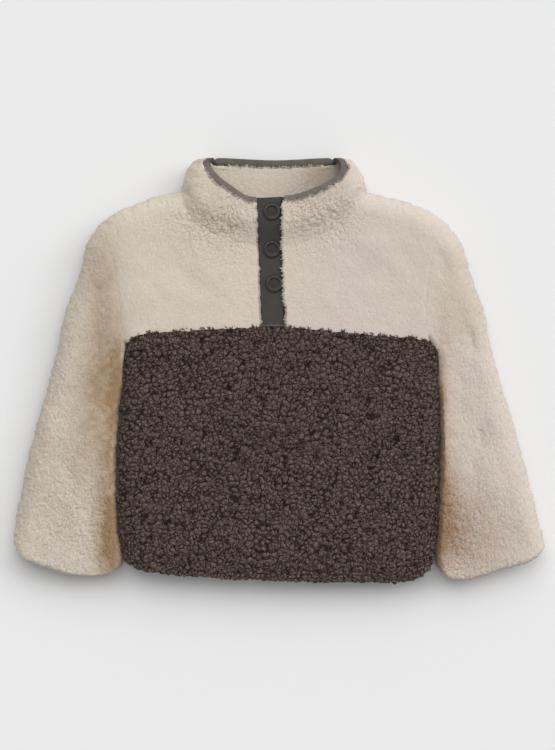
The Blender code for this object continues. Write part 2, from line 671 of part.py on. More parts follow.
# ---------------------------------------------------------------- the sleeves
def sleeve(side):
    """One tube from the armhole to the turned cuff: front, fold under the arm, back, outer fold."""
    lines = LINES[side]
    plan = coons(ARM_LINES, SLEEVE_ROWS, lines["armhole"], lines["cuff"],
                 lines["outer"], lines["tucked"])
    folds = folds_of("sleeve", [side])
    front, front_in = surface(plan, "front", sleeve_level, folds)
    back, back_in = surface(plan, "back", flat_level, folds)
    outer = np.concatenate([front, back[-2:0:-1]])
    inward = np.concatenate([front_in, back_in[-2:0:-1]])
    low, high = depths(len(SLEEVE_ROWS), seam_rows=[0], turned_end=-1)
    # Beneath the body the cloth is squeezed a little thinner.
    pressed = smooth_step((ARM_LINES - 0.55) / 0.25)
    pressed = np.concatenate([pressed, pressed[-2:0:-1]])[:, None]
    past_arm = smooth_step((SLEEVE_ROWS - 0.05) / 0.15)[None, :]
    high = high[None, :] + (PRESSED - high[None, :]) * pressed * past_arm
    wall = Wall(outer, inward, low[None, :], high)
    wall.trim_ring(len(ARM_LINES))
    return wall.solid("sleeve_" + side, CREAM, FLEECE, around=True)


# ---------------------------------------------------------------- the collar
class Collar:
    """The stand collar as columns from the neck seam up to the bound edge, left placket edge round
    the back of the neck to the right placket edge."""

    def __init__(self):
        front = neck_share(yoke_lines())
        back = back_neck_share(back_lines())
        fold = len(QUARTER)
        self.front = np.concatenate([front[:fold], front[fold + 1::2]])[::-1]
        arm = len(ARM_LINES)
        self.back = np.concatenate([back[:arm], back[arm + 1:-arm:2], back[-arm:]])

    def columns(self, from_neck):
        """Outer points and inward directions at heights up the collar, one row of heights a column.

        from_neck turns each column's length into the fractions wanted on it."""
        parts = []
        left, right = LINES["left"], LINES["right"]
        jobs = [
            ("front", self.front, left["neck"], left["edge"], left["collar"], left["placket_collar"]),
            ("back", self.back[1:-1], BACK_NECK_LINE, BACK_EDGE_LINE, left["collar"], right["collar"]),
            ("front", self.front[::-1], right["neck"], right["edge"], right["collar"],
             right["placket_collar"]),
        ]
        for face, u, low, high, first, last in jobs:
            fine = np.linspace(0.0, 1.0, 41)
            plan = coons(u, fine, low, high, first, last)
            run = np.linalg.norm(np.diff(plan, axis=1), axis=2)
            along = np.concatenate([np.zeros((len(u), 1)), np.cumsum(run, axis=1)], axis=1)
            picked = []
            for k in range(len(u)):
                wanted = from_neck(along[k, -1])
                past = np.maximum(wanted - along[k, -1], 0.0)[:, None]
                end = plan[k, -1] - plan[k, -3]
                end /= np.linalg.norm(end)
                at = [np.interp(wanted, along[k], plan[k, :, c]) for c in (0, 1)]
                picked.append(np.stack(at, axis=1) + past * end)
            grid = np.array(picked)
            if face == "front":
                height = np.array([from_neck(length[-1]) for length in along])
                rise = COLLAR_RISE * smooth_step(height / COLLAR_RUN)
                parts.append(surface(grid, face, top_level, YOKE_FOLDS, rise))
            else:
                parts.append(surface(grid, face, flat_level, YOKE_FOLDS))
        return [np.concatenate([part[k] for part in parts]) for k in (0, 1)]

    def layer(self, name, low_depth, rim_low, rim_high):
        """One layer of the collar's cloth, pressed thin where the binding holds its top edge."""

        def stations(length):
            top = length - np.array([BINDING_DEEP + BINDING_EASE, BINDING_DEEP + GAP, RIM_DROP])
            middle = (SEAM_REACH + top[0]) / 2
            return np.concatenate([[0.0, SEAM_REACH, middle], top])

        outer, inward = self.columns(stations)
        dip = SEAM_DIP if low_depth == 0.0 else 0.0
        low = low_depth + np.array([dip, 0.0, 0.0, 0.0, rim_low - low_depth, rim_low - low_depth])
        high_depth = low_depth + COLLAR_LAYER
        high = np.array([high_depth] * 4 + [rim_high] * 2)
        wall = Wall(outer, inward, low[None, :], high[None, :])
        wall.trim("v0", NECK_TRIM)
        wall.trim("u0")
        wall.trim("u1")
        return wall.solid(name, CREAM, FLEECE)

    def binding(self):
        """A U of folded bias cloth over both layers' top edges."""
        inside = RIM_SQUEEZE - 1.5 * GAP
        outside = RIM_SQUEEZE + 2 * RIM_CLOTH + 2.5 * GAP
        corner = RIM_CROWN / 4
        profile = [
            (inside - BINDING_CLOTH, -BINDING_DEEP),
            (inside - BINDING_CLOTH, -RIM_DROP),
            (inside + corner, corner),
            ((inside + outside) / 2, RIM_CROWN),
            (outside - corner, corner),
            (outside + BINDING_CLOTH, -RIM_DROP),
            (outside + BINDING_CLOTH, -BINDING_DEEP),
            (outside, -BINDING_DEEP),
            (outside, GAP - RIM_DROP),
            (inside, GAP - RIM_DROP),
            (inside, -BINDING_DEEP),
        ]
        depth, height = np.array(profile).T
        outer, inward = self.columns(lambda length: length + height)
        ring = outer + depth[None, :, None] * inward
        for end, next_in in ((0, 1), (-1, -2)):
            run = ring[next_in] - ring[end]
            ring[end] += GAP / 2 * run / np.linalg.norm(run, axis=1)[:, None]
        nu, nv = ring.shape[:2]
        index = np.arange(nu * nv).reshape(nu, nv)
        wrap = np.hstack([index, index[:, :1]])
        a, b, c, d = wrap[:-1, :-1], wrap[1:, :-1], wrap[1:, 1:], wrap[:-1, 1:]
        faces = [[int(k) for k in face] for face in np.stack([a, b, c, d], axis=-1).reshape(-1, 4)]
        caps = [(0, 1, 9, 10), (1, 2, 9), (2, 3, 9), (3, 8, 9), (3, 4, 8), (4, 5, 8), (5, 6, 7, 8)]
        for cap in caps:
            faces.append([int(index[0, k]) for k in cap])
            faces.append([int(index[-1, k]) for k in reversed(cap)])
        triangles = [[face[0], face[k], face[k + 1]] for face in faces for k in range(1, len(face) - 1)]
        return make_object("collar_binding", ring.reshape(-1, 3), np.array(triangles), TAUPE, TWILL)


# ---------------------------------------------------------------- the placket
def placket_line(side):
    """One edge of the placket's slot, from the collar's top edge down to the block seam."""
    return joined([backwards(LINES[side]["placket_collar"]), LINES[side]["placket"]],
                  [COLLAR_SHARE, 1.0 - COLLAR_SHARE])


PLACKET_ROWS = np.array([0.0, 0.05, 0.16, 0.28, COLLAR_SHARE, 0.46, 0.58, 0.72, 0.86, 0.96, 1.0])


def placket_rise(y):
    """The collar stands higher than the yoke, and so does the placket on it."""
    neck = PLACKET_NECK["left"][1]
    return COLLAR_RISE * smooth_step((y - neck) / COLLAR_RUN)


def placket_strip(name, left_inset, right_inset, low, high):
    """A strip down the slot; the insets are its clearances to the slot's two edges."""
    left, right = (placket_line(side)(PLACKET_ROWS) for side in ("left", "right"))
    width = np.linalg.norm(right - left, axis=1)[:, None]
    across = (right - left) / width
    start = left + left_inset * across
    end = right - right_inset * across
    plan = start[None] + (end - start)[None] * STRIP_LINES[:, None, None]
    outer, inward = surface(plan, "front", top_level, YOKE_FOLDS, placket_rise(plan[..., 1]))
    wall = Wall(outer, inward, low, high)
    wall.trim("v0", STRIP_TOP_TRIM)
    wall.trim("v1", GAP / 2)
    return wall.solid(name, WOVEN, TWILL)


# ---------------------------------------------------------------- the snaps
# How far along the placket's slot each snap is, and how far across it
SNAPS = [
    ("name", "y", "across"),
    ("snap_1", 150.9, 0.52),
    ("snap_2", 115.3, 0.52),
    ("snap_3", 82.2, 0.58),
]


def snap_profile():
    """Radius and height of the turned cap: a flat foot, a round rim and a dished centre."""
    r = SNAP_DIAMETER / 2
    top = SNAP_HEIGHT
    inner = r - SNAP_RIM
    return [(0.0, 0.0), (r - 0.8, 0.0), (r, 0.7), (r, top - 1.1), (r - 0.25, top - 0.4),
            (r - 0.8, top), (inner, top - 0.15), (inner - 0.5, top - SNAP_RECESS),
            (inner * 0.5, top - SNAP_RECESS + 0.15), (0.0, top - SNAP_RECESS + 0.3)]


def snap(name, y, across):
    left, right = (placket_line(side)(np.linspace(0, 1, 200)) for side in ("left", "right"))
    a, b = (np.array([np.interp(-y, -line[:, 1], line[:, 0]), y]) for line in (left, right))
    middle = a + (b - a) * across
    ring = np.array([(math.cos(k * math.pi / 8), math.sin(k * math.pi / 8)) for k in range(16)])
    foot = np.vstack([middle + 0.5 * SNAP_DIAMETER * ring, middle[None]])[None]
    top, inward = surface(foot, "front", top_level, YOKE_FOLDS, placket_rise(foot[..., 1]))
    top = (top + STRIP_DEPTH * inward)[0]
    fit = np.linalg.lstsq(np.column_stack([top[:, :2] - middle, np.ones(len(top))]), top[:, 2],
                          rcond=None)[0]
    normal = np.array([-fit[0], -fit[1], 1.0])
    normal /= np.linalg.norm(normal)
    base = np.array([middle[0], middle[1], fit[2]])
    high = ((top - base) @ normal).max() + 1.5 * GAP
    profile = snap_profile()
    east = np.cross([0.0, 1.0, 0.0], normal)
    east /= np.linalg.norm(east)
    north = np.cross(normal, east)
    points = [base + normal * (high + profile[0][1])]
    for radius, height in profile[1:-1]:
        for k in range(SNAP_SIDES):
            turn = 2 * math.pi * k / SNAP_SIDES
            points.append(base + radius * (math.cos(turn) * east + math.sin(turn) * north)
                          + normal * (high + height))
    points.append(base + normal * (high + profile[-1][1]))
    faces = []
    rings = len(profile) - 2
    last = 1 + rings * SNAP_SIDES
    for k in range(SNAP_SIDES):
        m = (k + 1) % SNAP_SIDES
        faces.append((0, 1 + m, 1 + k))
        for r in range(rings - 1):
            a, b = 1 + r * SNAP_SIDES + k, 1 + r * SNAP_SIDES + m
            faces += [(a, b, b + SNAP_SIDES), (a, b + SNAP_SIDES, a + SNAP_SIDES)]
        faces.append((last, last - SNAP_SIDES + k, last - SNAP_SIDES + m))
    return make_object(name, np.array(points), np.array(faces), SNAP_METAL, LACQUER)


# ---------------------------------------------------------------- the garment
def build():
    for old in list(bpy.data.objects):
        bpy.data.objects.remove(old, do_unlink=True)
    body_block("front")
    body_block("back")
    back_yoke()
    for side in ("left", "right"):
        front_yoke(side)
        sleeve(side)
    collar = Collar()
    collar.layer("collar_outer", 0.0, RIM_SQUEEZE, RIM_SQUEEZE + RIM_CLOTH)
    collar.layer("collar_inner", COLLAR_LAYER + GAP, RIM_SQUEEZE + RIM_CLOTH + GAP,
                 RIM_SQUEEZE + 2 * RIM_CLOTH + GAP)
    collar.binding()
    under = STRIP_DEPTH + STRIP_THICK + GAP
    placket_strip("placket_top", GAP, UNDERLAP_SHOWS, STRIP_DEPTH, STRIP_DEPTH + STRIP_THICK)
    placket_strip("placket_under", UNDERLAP_SHORT, GAP, under, under + STRIP_THICK)
    for name, y, across in SNAPS[1:]:
        snap(name, y, across)


build()
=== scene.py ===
"""Looks of the sherpa fleece pullover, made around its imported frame.

Every piece of cloth is a closed shell on the form of its solid: a fine face that carries the pile,
and a coarser plain face on the knit side. Sizes are millimetres in the plan functions, as the garment
was drafted, and metres in the properties, the meshes and the materials. +Y runs from the hem to the
collar, Z is up.
"""

import math
from collections import namedtuple
from itertools import product

import bpy
import numpy as np
from bpy.props import FloatProperty, FloatVectorProperty, PointerProperty
from bpy.types import Operator, Panel, PropertyGroup
from mathutils import Matrix, Vector


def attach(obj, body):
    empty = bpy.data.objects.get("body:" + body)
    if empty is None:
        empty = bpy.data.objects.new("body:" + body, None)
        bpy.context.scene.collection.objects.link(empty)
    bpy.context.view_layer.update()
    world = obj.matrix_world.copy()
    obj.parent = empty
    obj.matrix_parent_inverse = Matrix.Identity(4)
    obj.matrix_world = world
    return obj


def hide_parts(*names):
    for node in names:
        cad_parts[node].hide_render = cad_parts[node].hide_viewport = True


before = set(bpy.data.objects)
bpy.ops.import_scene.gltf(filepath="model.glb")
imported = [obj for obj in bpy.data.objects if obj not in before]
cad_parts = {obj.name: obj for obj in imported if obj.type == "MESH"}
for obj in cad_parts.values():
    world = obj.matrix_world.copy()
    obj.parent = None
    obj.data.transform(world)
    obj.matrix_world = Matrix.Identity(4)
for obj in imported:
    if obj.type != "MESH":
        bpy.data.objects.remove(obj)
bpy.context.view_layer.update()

bl_info = {
    "name": "Sherpa Fleece Pullover",
    "version": (1, 0, 0),
    "blender": (4, 5, 0),
    "location": "View3D > Sidebar > Pullover",
    "description": "Builds a half-placket fleece pullover piece by piece over its frame",
    "category": "Add Mesh",
}

MM = 0.001
QUICK = 1.0    # coarser pile for a trial

# ---------------------------------------------------------------- sizes of the cloth and the form
CLOTH = 5.2            # body and sleeve cloth, pile and knit together
TURNED = 7.0           # the same where a hem or cuff is turned up inside
PRESSED = 4.7          # the sleeve's cloth where the body lies on it
PRESSED_IN = (0.55, 0.25)     # across the sleeve that starts at this fraction and grows over this one
PRESSED_DOWN = (0.05, 0.15)   # and the same down the sleeve
TURN_UP = 20.0         # height of the turned hem and cuffs
GAP = 0.3              # clearance between two pieces that meet

BODY_RISE = 32.0       # height of the chest over the resting surface
BODY_HALF = 130.0      # the level top falls to the sleeves' height from here outward
BODY_TO_SLEEVE = 50.0  # and has reached it this much further out

TUCK = 17.0            # how far the sleeve goes under the body
TUCK_START = 18.0      # it begins to go under this far below the arm
TUCK_RUN = 55.0        # and is fully under this much lower down
TUCK_END = 60.0        # it comes out again over this length above the cuff
BESIDE = -3.5          # the sleeve's pile runs into the body's by this much just under the arm
BESIDE_RUN = 8.0       # and has done so after this length
TUCKED = 10.8          # height of the flattened sleeve under the side of the body
TUCKED_IN = 3.0        # it is wholly flat this far inside the body's side
TUCKED_SLOPE = 9.0     # and back at its own height this much further out
TUCKED_NEAR = 4.0      # further in by this much close to the arm
TUCKED_START = 20.0    # the flattening begins this far below the arm
TUCKED_RUN = 40.0      # and grows over this length
TUCKED_EASE = 80.0     # the part further in has gone after this length
CEILING = 31.0         # inside the body's side the sleeve's pile stays under this height at the arm
CEILING_DROP = 8.0     # and under this much less
CEILING_RUN = 10.0     # from this far below it
CEILING_IN = 0.5       # that begins this far inside the body's side
CEILING_SLOPE = 1.5    # and holds in full this much further in
LIFT = 12.2            # underside of the body where it lies over the sleeve
LIFT_IN = 54.0         # it begins to rise this far inside the body's side
LIFT_SLOPE = 34.0      # and is fully up this much further out
LIFT_RUN = 26.0        # the lift grows over this length below the arm

COLLAR_LAYER = 5.0     # each of the two collar layers
COLLAR_RISE = 6.5      # how much higher the stand collar stands than the yoke
COLLAR_RUN = 26.0      # length above the neck seam in which it rises
STRIP_DEPTH = 1.5      # the placket strip lies this far below the pile
STRIP_THICK = 2.8      # cloth, interlining and cloth again
STRIP_LENGTH = 122.0   # for the number of rows
STITCH_IN = 2.2        # the row of stitches lies this far inside the strip's edge
STITCH_LONG = 2.6      # one stitch and the gap after it
SNAP_MARK = 8.3        # painted shadow: the cloth is darkened round each snap, this far from its centre
UNDERLAP_SHOWS = 2.4   # the overlap stops this far short, where a sliver of the underlap shows
UNDERLAP_SHORT = 1.4   # the underlap stops this far short on the other side
BINDING_DEEP = 8.2     # how far the binding reaches down each side of the collar
BINDING_CLOTH = 0.9    # thickness of the tape
BINDING_BULGE = 0.55   # how far the tape stands off between its turned edge and its fold
RIM_SQUEEZE = 3.1      # the collar's outer layer is pressed in this much under the binding
RIM_CLOTH = 1.7        # each layer's thickness there
RIM_DROP = 1.4         # the layers end this far below the top of the bound edge
RIM_CROWN = 0.8        # how far the binding's rounded top rises over the collar's edge line
SQUARE_IN = 18.0       # the collar's back meets its edge squarely from this far off
SQUARE_RUN = 8.0       # turned to it over this length
TIP_START = 0.4        # distance of the first column of the back from the tip
TIP_RUN = 5.0          # and the length in which the columns turn there
COLLAR_HEIGHT = 46.0   # neck seam to the bound edge, for the number of rows
TIP_BELOW = 198.5      # the collar's side counts as a fold up to here

# ---------------------------------------------------------------- the flat outline, x and y
NECK_POINT = {"left": (-95.5, 171.0), "right": (83.0, 170.0)}
SHOULDER_TIP = {"left": (-174.5, 138.0), "right": (159.0, 140.5)}
UNDERARM = {"left": (-148.0, 26.0), "right": (143.0, 28.0)}
COLLAR_TIP = {"left": (-65.5, 202.8), "right": (53.0, 202.8)}
CUFF_OUTER = {"left": (-256.0, -166.0), "right": (254.0, -170.0)}
HEM_CORNER = {"left": (-150.0, -183.0), "right": (147.5, -183.0)}
PLACKET_TOP = {"left": (-23.3, 164.4), "right": (3.6, 165.6)}
PLACKET_NECK = {"left": (-21.6, 118.0), "right": (2.6, 116.6)}
PLACKET_END = {"left": (-19.0, 41.3), "right": (6.8, 41.0)}

SHOULDER = {
    "left": [(-129.0, 162.5), (-158.0, 150.5)],
    "right": [(112.0, 163.0), (142.0, 152.0)],
}
SLEEVE_OUTER = {
    "left": [(-185.5, 121.0), (-190.5, 100.0), (-206.0, 58.0), (-216.0, 17.0), (-230.0, -38.0),
             (-242.5, -90.0), (-251.5, -136.0)],
    "right": [(173.0, 122.0), (180.5, 100.0), (195.0, 56.0), (204.5, 16.0), (219.5, -38.0),
              (234.5, -90.0), (245.8, -136.0)],
}
ARMHOLE = {
    "left": [(-167.5, 124.0), (-159.8, 104.0), (-154.5, 70.0), (-152.0, 42.0)],
    "right": [(150.0, 127.0), (143.0, 98.0), (138.8, 66.0), (139.5, 44.0)],
}
BODY_SIDE = {
    "left": [(-151.5, 8.0), (-153.5, -25.0), (-156.0, -90.0), (-155.5, -145.0)],
    "right": [(150.0, 20.0), (152.6, 8.0), (152.9, -15.0), (152.0, -90.0), (150.5, -145.0)],
}
CUFF = {
    "left": [(-250.0, -179.5), (-227.0, -189.5), (-198.0, -197.5), (-172.0, -198.0)],
    "right": [(248.5, -178.6), (237.0, -184.6), (211.0, -192.3), (183.0, -200.8), (163.0, -200.5)],
}
CUFF_INNER = {"left": (-153.0, -190.0), "right": (150.5, -190.0)}
NECK_FRONT = {
    "left": [(-91.5, 156.0), (-84.0, 142.5), (-69.0, 131.5), (-44.0, 123.5)],
    "right": [(78.0, 159.5), (70.0, 150.0), (54.0, 137.5), (36.0, 127.5), (21.0, 121.0)],
}
COLLAR_SIDE = {
    "left": [(-93.6, 181.0), (-90.0, 190.5), (-85.5, 197.6), (-77.0, 202.0)],
    "right": [(81.0, 180.0), (76.5, 190.0), (72.0, 197.0), (64.5, 202.0)],
}
COLLAR_FRONT_EDGE = {
    "left": [(-69.6, 199.2), (-67.2, 193.6), (-58.9, 184.2), (-43.4, 172.6), (-32.8, 166.0)],
    "right": [(58.2, 199.6), (59.4, 194.4), (56.8, 188.0), (51.8, 183.4), (42.0, 177.6), (26.5, 170.9),
              (14.0, 167.0)],
}
BLOCK_SEAM = {
    "left": [(-138.0, 33.0), (-97.4, 37.4), (-55.0, 40.0)],
    "right": [(130.0, 30.5), (85.0, 34.5), (20.0, 40.2)],
}
HEM = [(-141.5, -189.0), (-117.0, -195.5), (-60.0, -200.5), (0.0, -202.0), (70.0, -203.3),
       (116.0, -203.4), (133.0, -200.4), (143.5, -193.0)]
BACK_NECK = [(-60.0, 160.0), (-5.0, 156.0), (48.0, 159.5)]
BACK_EDGE = [(-60.0, 203.4), (-5.0, 201.2), (47.0, 203.4)]

# Height of the top surface by station: y, over the body, over the sleeves
LEVELS = np.array([
    (-204.0, 28.5, 23.0), (-180.0, 30.5, 24.5), (-120.0, 31.5, 26.5), (-40.0, BODY_RISE, 27.5),
    (40.0, BODY_RISE, 28.5), (110.0, 31.5, 30.0), (205.0, 31.5, 30.0),
])

# Folded edges: distance along the edge, height of the fold, how far in it turns on the front and back
OUTER_FOLD = np.array([
    (0.0, 12.0, 16.0, 14.0), (60.0, 12.5, 19.0, 16.0), (330.0, 13.5, 20.0, 17.0),
    (400.0, 14.0, 21.0, 17.0), (450.0, 17.0, 22.0, 18.0), (490.0, 19.0, 22.0, 19.0),
])
BODY_FOLD = np.array([
    (0.0, 25.0, 5.0, 14.0), (18.0, 23.5, 10.0, 12.0), (36.0, 21.5, 16.0, 10.0),
    (180.0, 21.0, 18.0, 10.0), (220.0, 20.5, 14.0, 10.0),
])
SLEEVE_FOLD = np.array([
    (0.0, 25.0, 5.0, 14.0), (20.0, 20.0, 7.0, 11.0), (44.0, 5.4, 7.0, 7.0),
    (190.0, 5.4, 7.0, 7.0), (225.0, 6.5, 8.0, 8.0),
])

BLOCK_LENGTH = 225.0   # hem to block seam
YOKE_LENGTH = 125.0    # block seam to neck at the back
SLEEVE_LENGTH = 260.0  # armhole to cuff edge
NECK_SHARE = 0.42      # the armhole's share of the neck seam in the yoke's grid
BACK_ARM = 0.25        # each armhole's share of the back yoke's outer edge
SEAM_HALF = 0.46       # each half's share of the block seam; the placket's foot has the rest
COLLAR_SHARE = 0.37    # the collar's share of the placket's length

# ---------------------------------------------------------------- how the pile is made
# Mesh of the faces that carry the pile, then of the turned parts, the sleeve's back and the strips
STEPS = {"block": 0.985, "yoke": 0.78, "sleeve": 0.84, "collar": 0.76, "back": 2.1, "hem": 2.2,
         "cuff": 2.4, "under": 2.5, "tape": 1.1, "tape_back": 1.3, "strip": 1.2}
STEPS = {name: step * QUICK for name, step in STEPS.items()}
KNIT_STEP = 5.0        # mesh of the plain side of a panel
BINDING_SHOWS = 3.9    # the pile swells over the binding's lower edge from here down
BINDING_MORE = (1.0, 2.4)    # and this much further down, on the outer and the inner layer
COLLAR_LOCK = 2.2      # length of the locks that hang over the binding
LOCKS_FROM_TIP = (9.0, 14.0)  # none of them is nearer to the collar's tips, on the two layers

# How a grid's edge is finished: which side of the grid, how deep it is drawn in and from how far off,
# how far the pile is pushed out past it, and how ragged its locks are there
Edge = namedtuple("Edge", "axis end dip reach over ragged lock")
SEAMED = Edge(1, True, 0.5, 6.0, 0.7, 0.0, 0.0)
SEAMED_LOW = SEAMED._replace(end=False)
LIPS = {"left": Edge(0, True, 1.1, 2.2, 0.7, 0.5, 1.7),
        "right": Edge(0, True, 1.0, 2.2, 2.0, 0.9, 2.7)}
CALM_STRIP = (-9.0, 14.0, 36.0)   # no troughs on the placket: its middle, half its width, its foot
CALM_NECK = (-8.0, 205.0, 90.0)   # nor on the collar: the neck's middle x and y, and the reach
CALM_RUN = 30.0        # the troughs have their full depth this much further off
LOCK = 1.3             # length of the single locks that stand out at the folds
LOCK_EVERY = 1.25      # and how far apart they are
LOWEST = 0.15          # the pile is pressed flat on the table here

# Soft troughs (depth above 0) and ridges (below 0): side, start x, y, end x, y, width, depth
CREASES = [
    ("front", 150.0, 118.0, 158.0, 84.0, 7.0, 1.3),
    ("front", 186.0, 44.0, 180.0, 8.0, 6.0, 1.5),
    ("front", 196.0, -44.0, 184.0, -108.0, 9.0, 1.7),
    ("front", 168.0, -10.0, 172.0, -64.0, 8.0, 1.0),
    ("front", 205.0, -70.0, 200.0, -140.0, 10.0, -1.2),
    ("front", -211.0, -62.0, -192.0, -128.0, 8.0, 1.6),
    ("front", -176.0, -92.0, -187.0, -165.0, 8.0, 1.5),
    ("front", -176.0, 66.0, -186.0, 4.0, 9.0, 1.5),
    ("front", -200.0, -10.0, -222.0, -50.0, 8.0, 1.0),
    ("front", -196.0, -110.0, -206.0, -170.0, 9.0, -1.2),
    ("front", 184.8, 39.0, 184.0, 15.0, 2.6, 1.0),
    ("front", 158.9, 35.0, 159.5, 15.0, 2.6, 0.9),
    ("front", 173.3, -2.0, 174.0, -26.0, 2.6, 0.8),
    ("front", 188.0, -50.0, 193.8, -78.0, 2.8, 1.0),
    ("front", 184.8, -84.0, 185.6, -103.0, 2.6, 0.9),
    ("front", -186.0, -58.0, -206.0, -96.0, 3.0, 0.9),
    ("front", -194.0, -104.0, -212.0, -150.0, 3.0, 0.9),
    ("front", -178.0, -120.0, -190.0, -172.0, 3.0, 0.8),
    ("front", -110.0, 120.0, -70.0, 60.0, 16.0, 1.0),
    ("front", 96.0, 110.0, 60.0, 66.0, 18.0, 1.0),
    ("front", -100.0, -60.0, -40.0, -130.0, 20.0, 1.1),
    ("front", 30.0, -30.0, 96.0, -120.0, 22.0, 1.0),
    ("front", -60.0, 20.0, 20.0, -6.0, 16.0, 0.8),
    ("back", -120.0, 110.0, -60.0, 60.0, 14.0, 1.2),
    ("back", 60.0, 120.0, 110.0, 60.0, 14.0, 1.2),
    ("back", -90.0, -40.0, -20.0, -120.0, 16.0, 1.2),
    ("back", 70.0, -20.0, 30.0, -140.0, 16.0, 1.2),
    ("back", -200.0, 20.0, -214.0, -80.0, 9.0, 1.4),
    ("back", 200.0, 0.0, 214.0, -90.0, 9.0, 1.4),
]


# ---------------------------------------------------------------- plan curves
def run_along(line):
    """Length along a line of points, from 0 at its start."""
    return np.concatenate([[0.0], np.cumsum(np.linalg.norm(np.diff(line, axis=0), axis=1))])


class Curve:
    """A smooth line through knots, read by the fraction of its length."""

    def __init__(self, knots, steps=12):
        p = np.array(knots, float)
        ends = np.vstack([2 * p[0] - p[1], p, 2 * p[-1] - p[-2]])
        t = np.concatenate([[0], np.cumsum(np.sqrt(np.linalg.norm(np.diff(ends, axis=0), axis=1)))])
        dense = []
        for k in range(1, len(ends) - 2):
            s = np.linspace(t[k], t[k + 1], steps, endpoint=False)[:, None]
            a = [self.blend(ends[i], ends[i + 1], t[i], t[i + 1], s) for i in (k - 1, k, k + 1)]
            b = [self.blend(a[i], a[i + 1], t[k - 1 + i], t[k + 1 + i], s) for i in (0, 1)]
            dense.append(self.blend(b[0], b[1], t[k], t[k + 1], s))
        self.points = np.vstack(dense + [p[-1:]])
        self.length = run_along(self.points)

    @staticmethod
    def blend(a, b, ta, tb, s):
        return ((tb - s) * a + (s - ta) * b) / (tb - ta)

    def __call__(self, fraction):
        s = np.asarray(fraction) * self.length[-1]
        return np.stack([np.interp(s, self.length, self.points[:, k]) for k in (0, 1)], axis=-1)


def joined(pieces, shares):
    """One line made of several, each taking its share of the fraction from 0 to 1."""
    ends = np.concatenate([[0.0], np.cumsum(shares)])

    def read(fraction):
        f = np.asarray(fraction, float)
        out = np.zeros(f.shape + (2,))
        for piece, start, end in zip(pieces, ends[:-1], ends[1:]):
            here = (f >= start - 1e-9) & (f <= end + 1e-9)
            out[here] = piece(np.clip((f[here] - start) / (end - start), 0.0, 1.0))
        return out

    return read


def backwards(line):
    return lambda fraction: line(1.0 - np.asarray(fraction))


def coons(u, v, low, high, first, last):
    """A grid of plan points inside four lines: low and high run along u, first and last along v."""
    u = np.asarray(u, float)
    v = np.asarray(v, float)
    uu = u[:, None, None]
    vv = v[None, :, None]
    sides = (1 - vv) * low(u)[:, None] + vv * high(u)[:, None]
    ends = (1 - uu) * first(v)[None] + uu * last(v)[None]
    a, b = low(np.array([0.0, 1.0]))
    c, d = high(np.array([0.0, 1.0]))
    corners = (1 - vv) * ((1 - uu) * a + uu * b) + vv * ((1 - uu) * c + uu * d)
    return sides + ends - corners


def smooth_step(x):
    x = np.clip(x, 0.0, 1.0)
    return x * x * (3 - 2 * x)


def tucked_edge(side):
    """The inner edge of the sleeve: beside the body under the arm, then some way beneath it."""
    sign = -1.0 if side == "left" else 1.0
    y = np.linspace(UNDERARM[side][1], CUFF_INNER[side][1], 16)
    below = UNDERARM[side][1] - y
    inside = smooth_step((y - CUFF_INNER[side][1]) / TUCK_END)
    beside = BESIDE * smooth_step(below / BESIDE_RUN)
    under = (TUCK + BESIDE) * smooth_step((below - TUCK_START) / TUCK_RUN) * inside
    x_end = CUFF_INNER[side][0] - LINES[side]["side"](1.0)[0]
    points = np.stack([side_x(side, y) + sign * (beside - under) + x_end * (1.0 - inside), y], axis=1)
    points[0] = UNDERARM[side]
    points[-1] = CUFF_INNER[side]
    return Curve(points)


def side_x(side, y):
    """Where the side of the body is at a height y; straight on above the arm and below the hem."""
    points = LINES[side]["side"].points
    return np.interp(y, points[::-1, 1], points[::-1, 0])


LINES = {}
for SIDE in ("left", "right"):
    LINES[SIDE] = {
        "shoulder": Curve([NECK_POINT[SIDE], *SHOULDER[SIDE], SHOULDER_TIP[SIDE]]),
        "outer": Curve([SHOULDER_TIP[SIDE], *SLEEVE_OUTER[SIDE], CUFF_OUTER[SIDE]]),
        "armhole": Curve([SHOULDER_TIP[SIDE], *ARMHOLE[SIDE], UNDERARM[SIDE]]),
        "side": Curve([UNDERARM[SIDE], *BODY_SIDE[SIDE], HEM_CORNER[SIDE]]),
        "cuff": Curve([CUFF_OUTER[SIDE], *CUFF[SIDE], CUFF_INNER[SIDE]]),
        "collar": Curve([NECK_POINT[SIDE], *COLLAR_SIDE[SIDE], COLLAR_TIP[SIDE]]),
        "placket": Curve([PLACKET_NECK[SIDE], PLACKET_END[SIDE]]),
        "placket_collar": Curve([PLACKET_NECK[SIDE], PLACKET_TOP[SIDE]]),
        "neck": Curve([NECK_POINT[SIDE], *NECK_FRONT[SIDE], PLACKET_NECK[SIDE]]),
        "edge": Curve([COLLAR_TIP[SIDE], *COLLAR_FRONT_EDGE[SIDE], PLACKET_TOP[SIDE]]),
        "seam": Curve([UNDERARM[SIDE], *BLOCK_SEAM[SIDE], PLACKET_END[SIDE]]),
    }
    LINES[SIDE]["tucked"] = tucked_edge(SIDE)

HEM_LINE = Curve([HEM_CORNER["left"], *HEM, HEM_CORNER["right"]])
BACK_NECK_LINE = Curve([NECK_POINT["left"], *BACK_NECK, NECK_POINT["right"]])
BACK_EDGE_LINE = Curve([COLLAR_TIP["left"], *BACK_EDGE, COLLAR_TIP["right"]])
STRIP_SEAM = Curve([PLACKET_END["left"], PLACKET_END["right"]])

OUTLINE = np.vstack([line.points for side in LINES.values() for line in side.values()]
                    + [HEM_LINE.points, BACK_EDGE_LINE.points])
CENTRE = (OUTLINE.min(axis=0) + OUTLINE.max(axis=0)) / 2


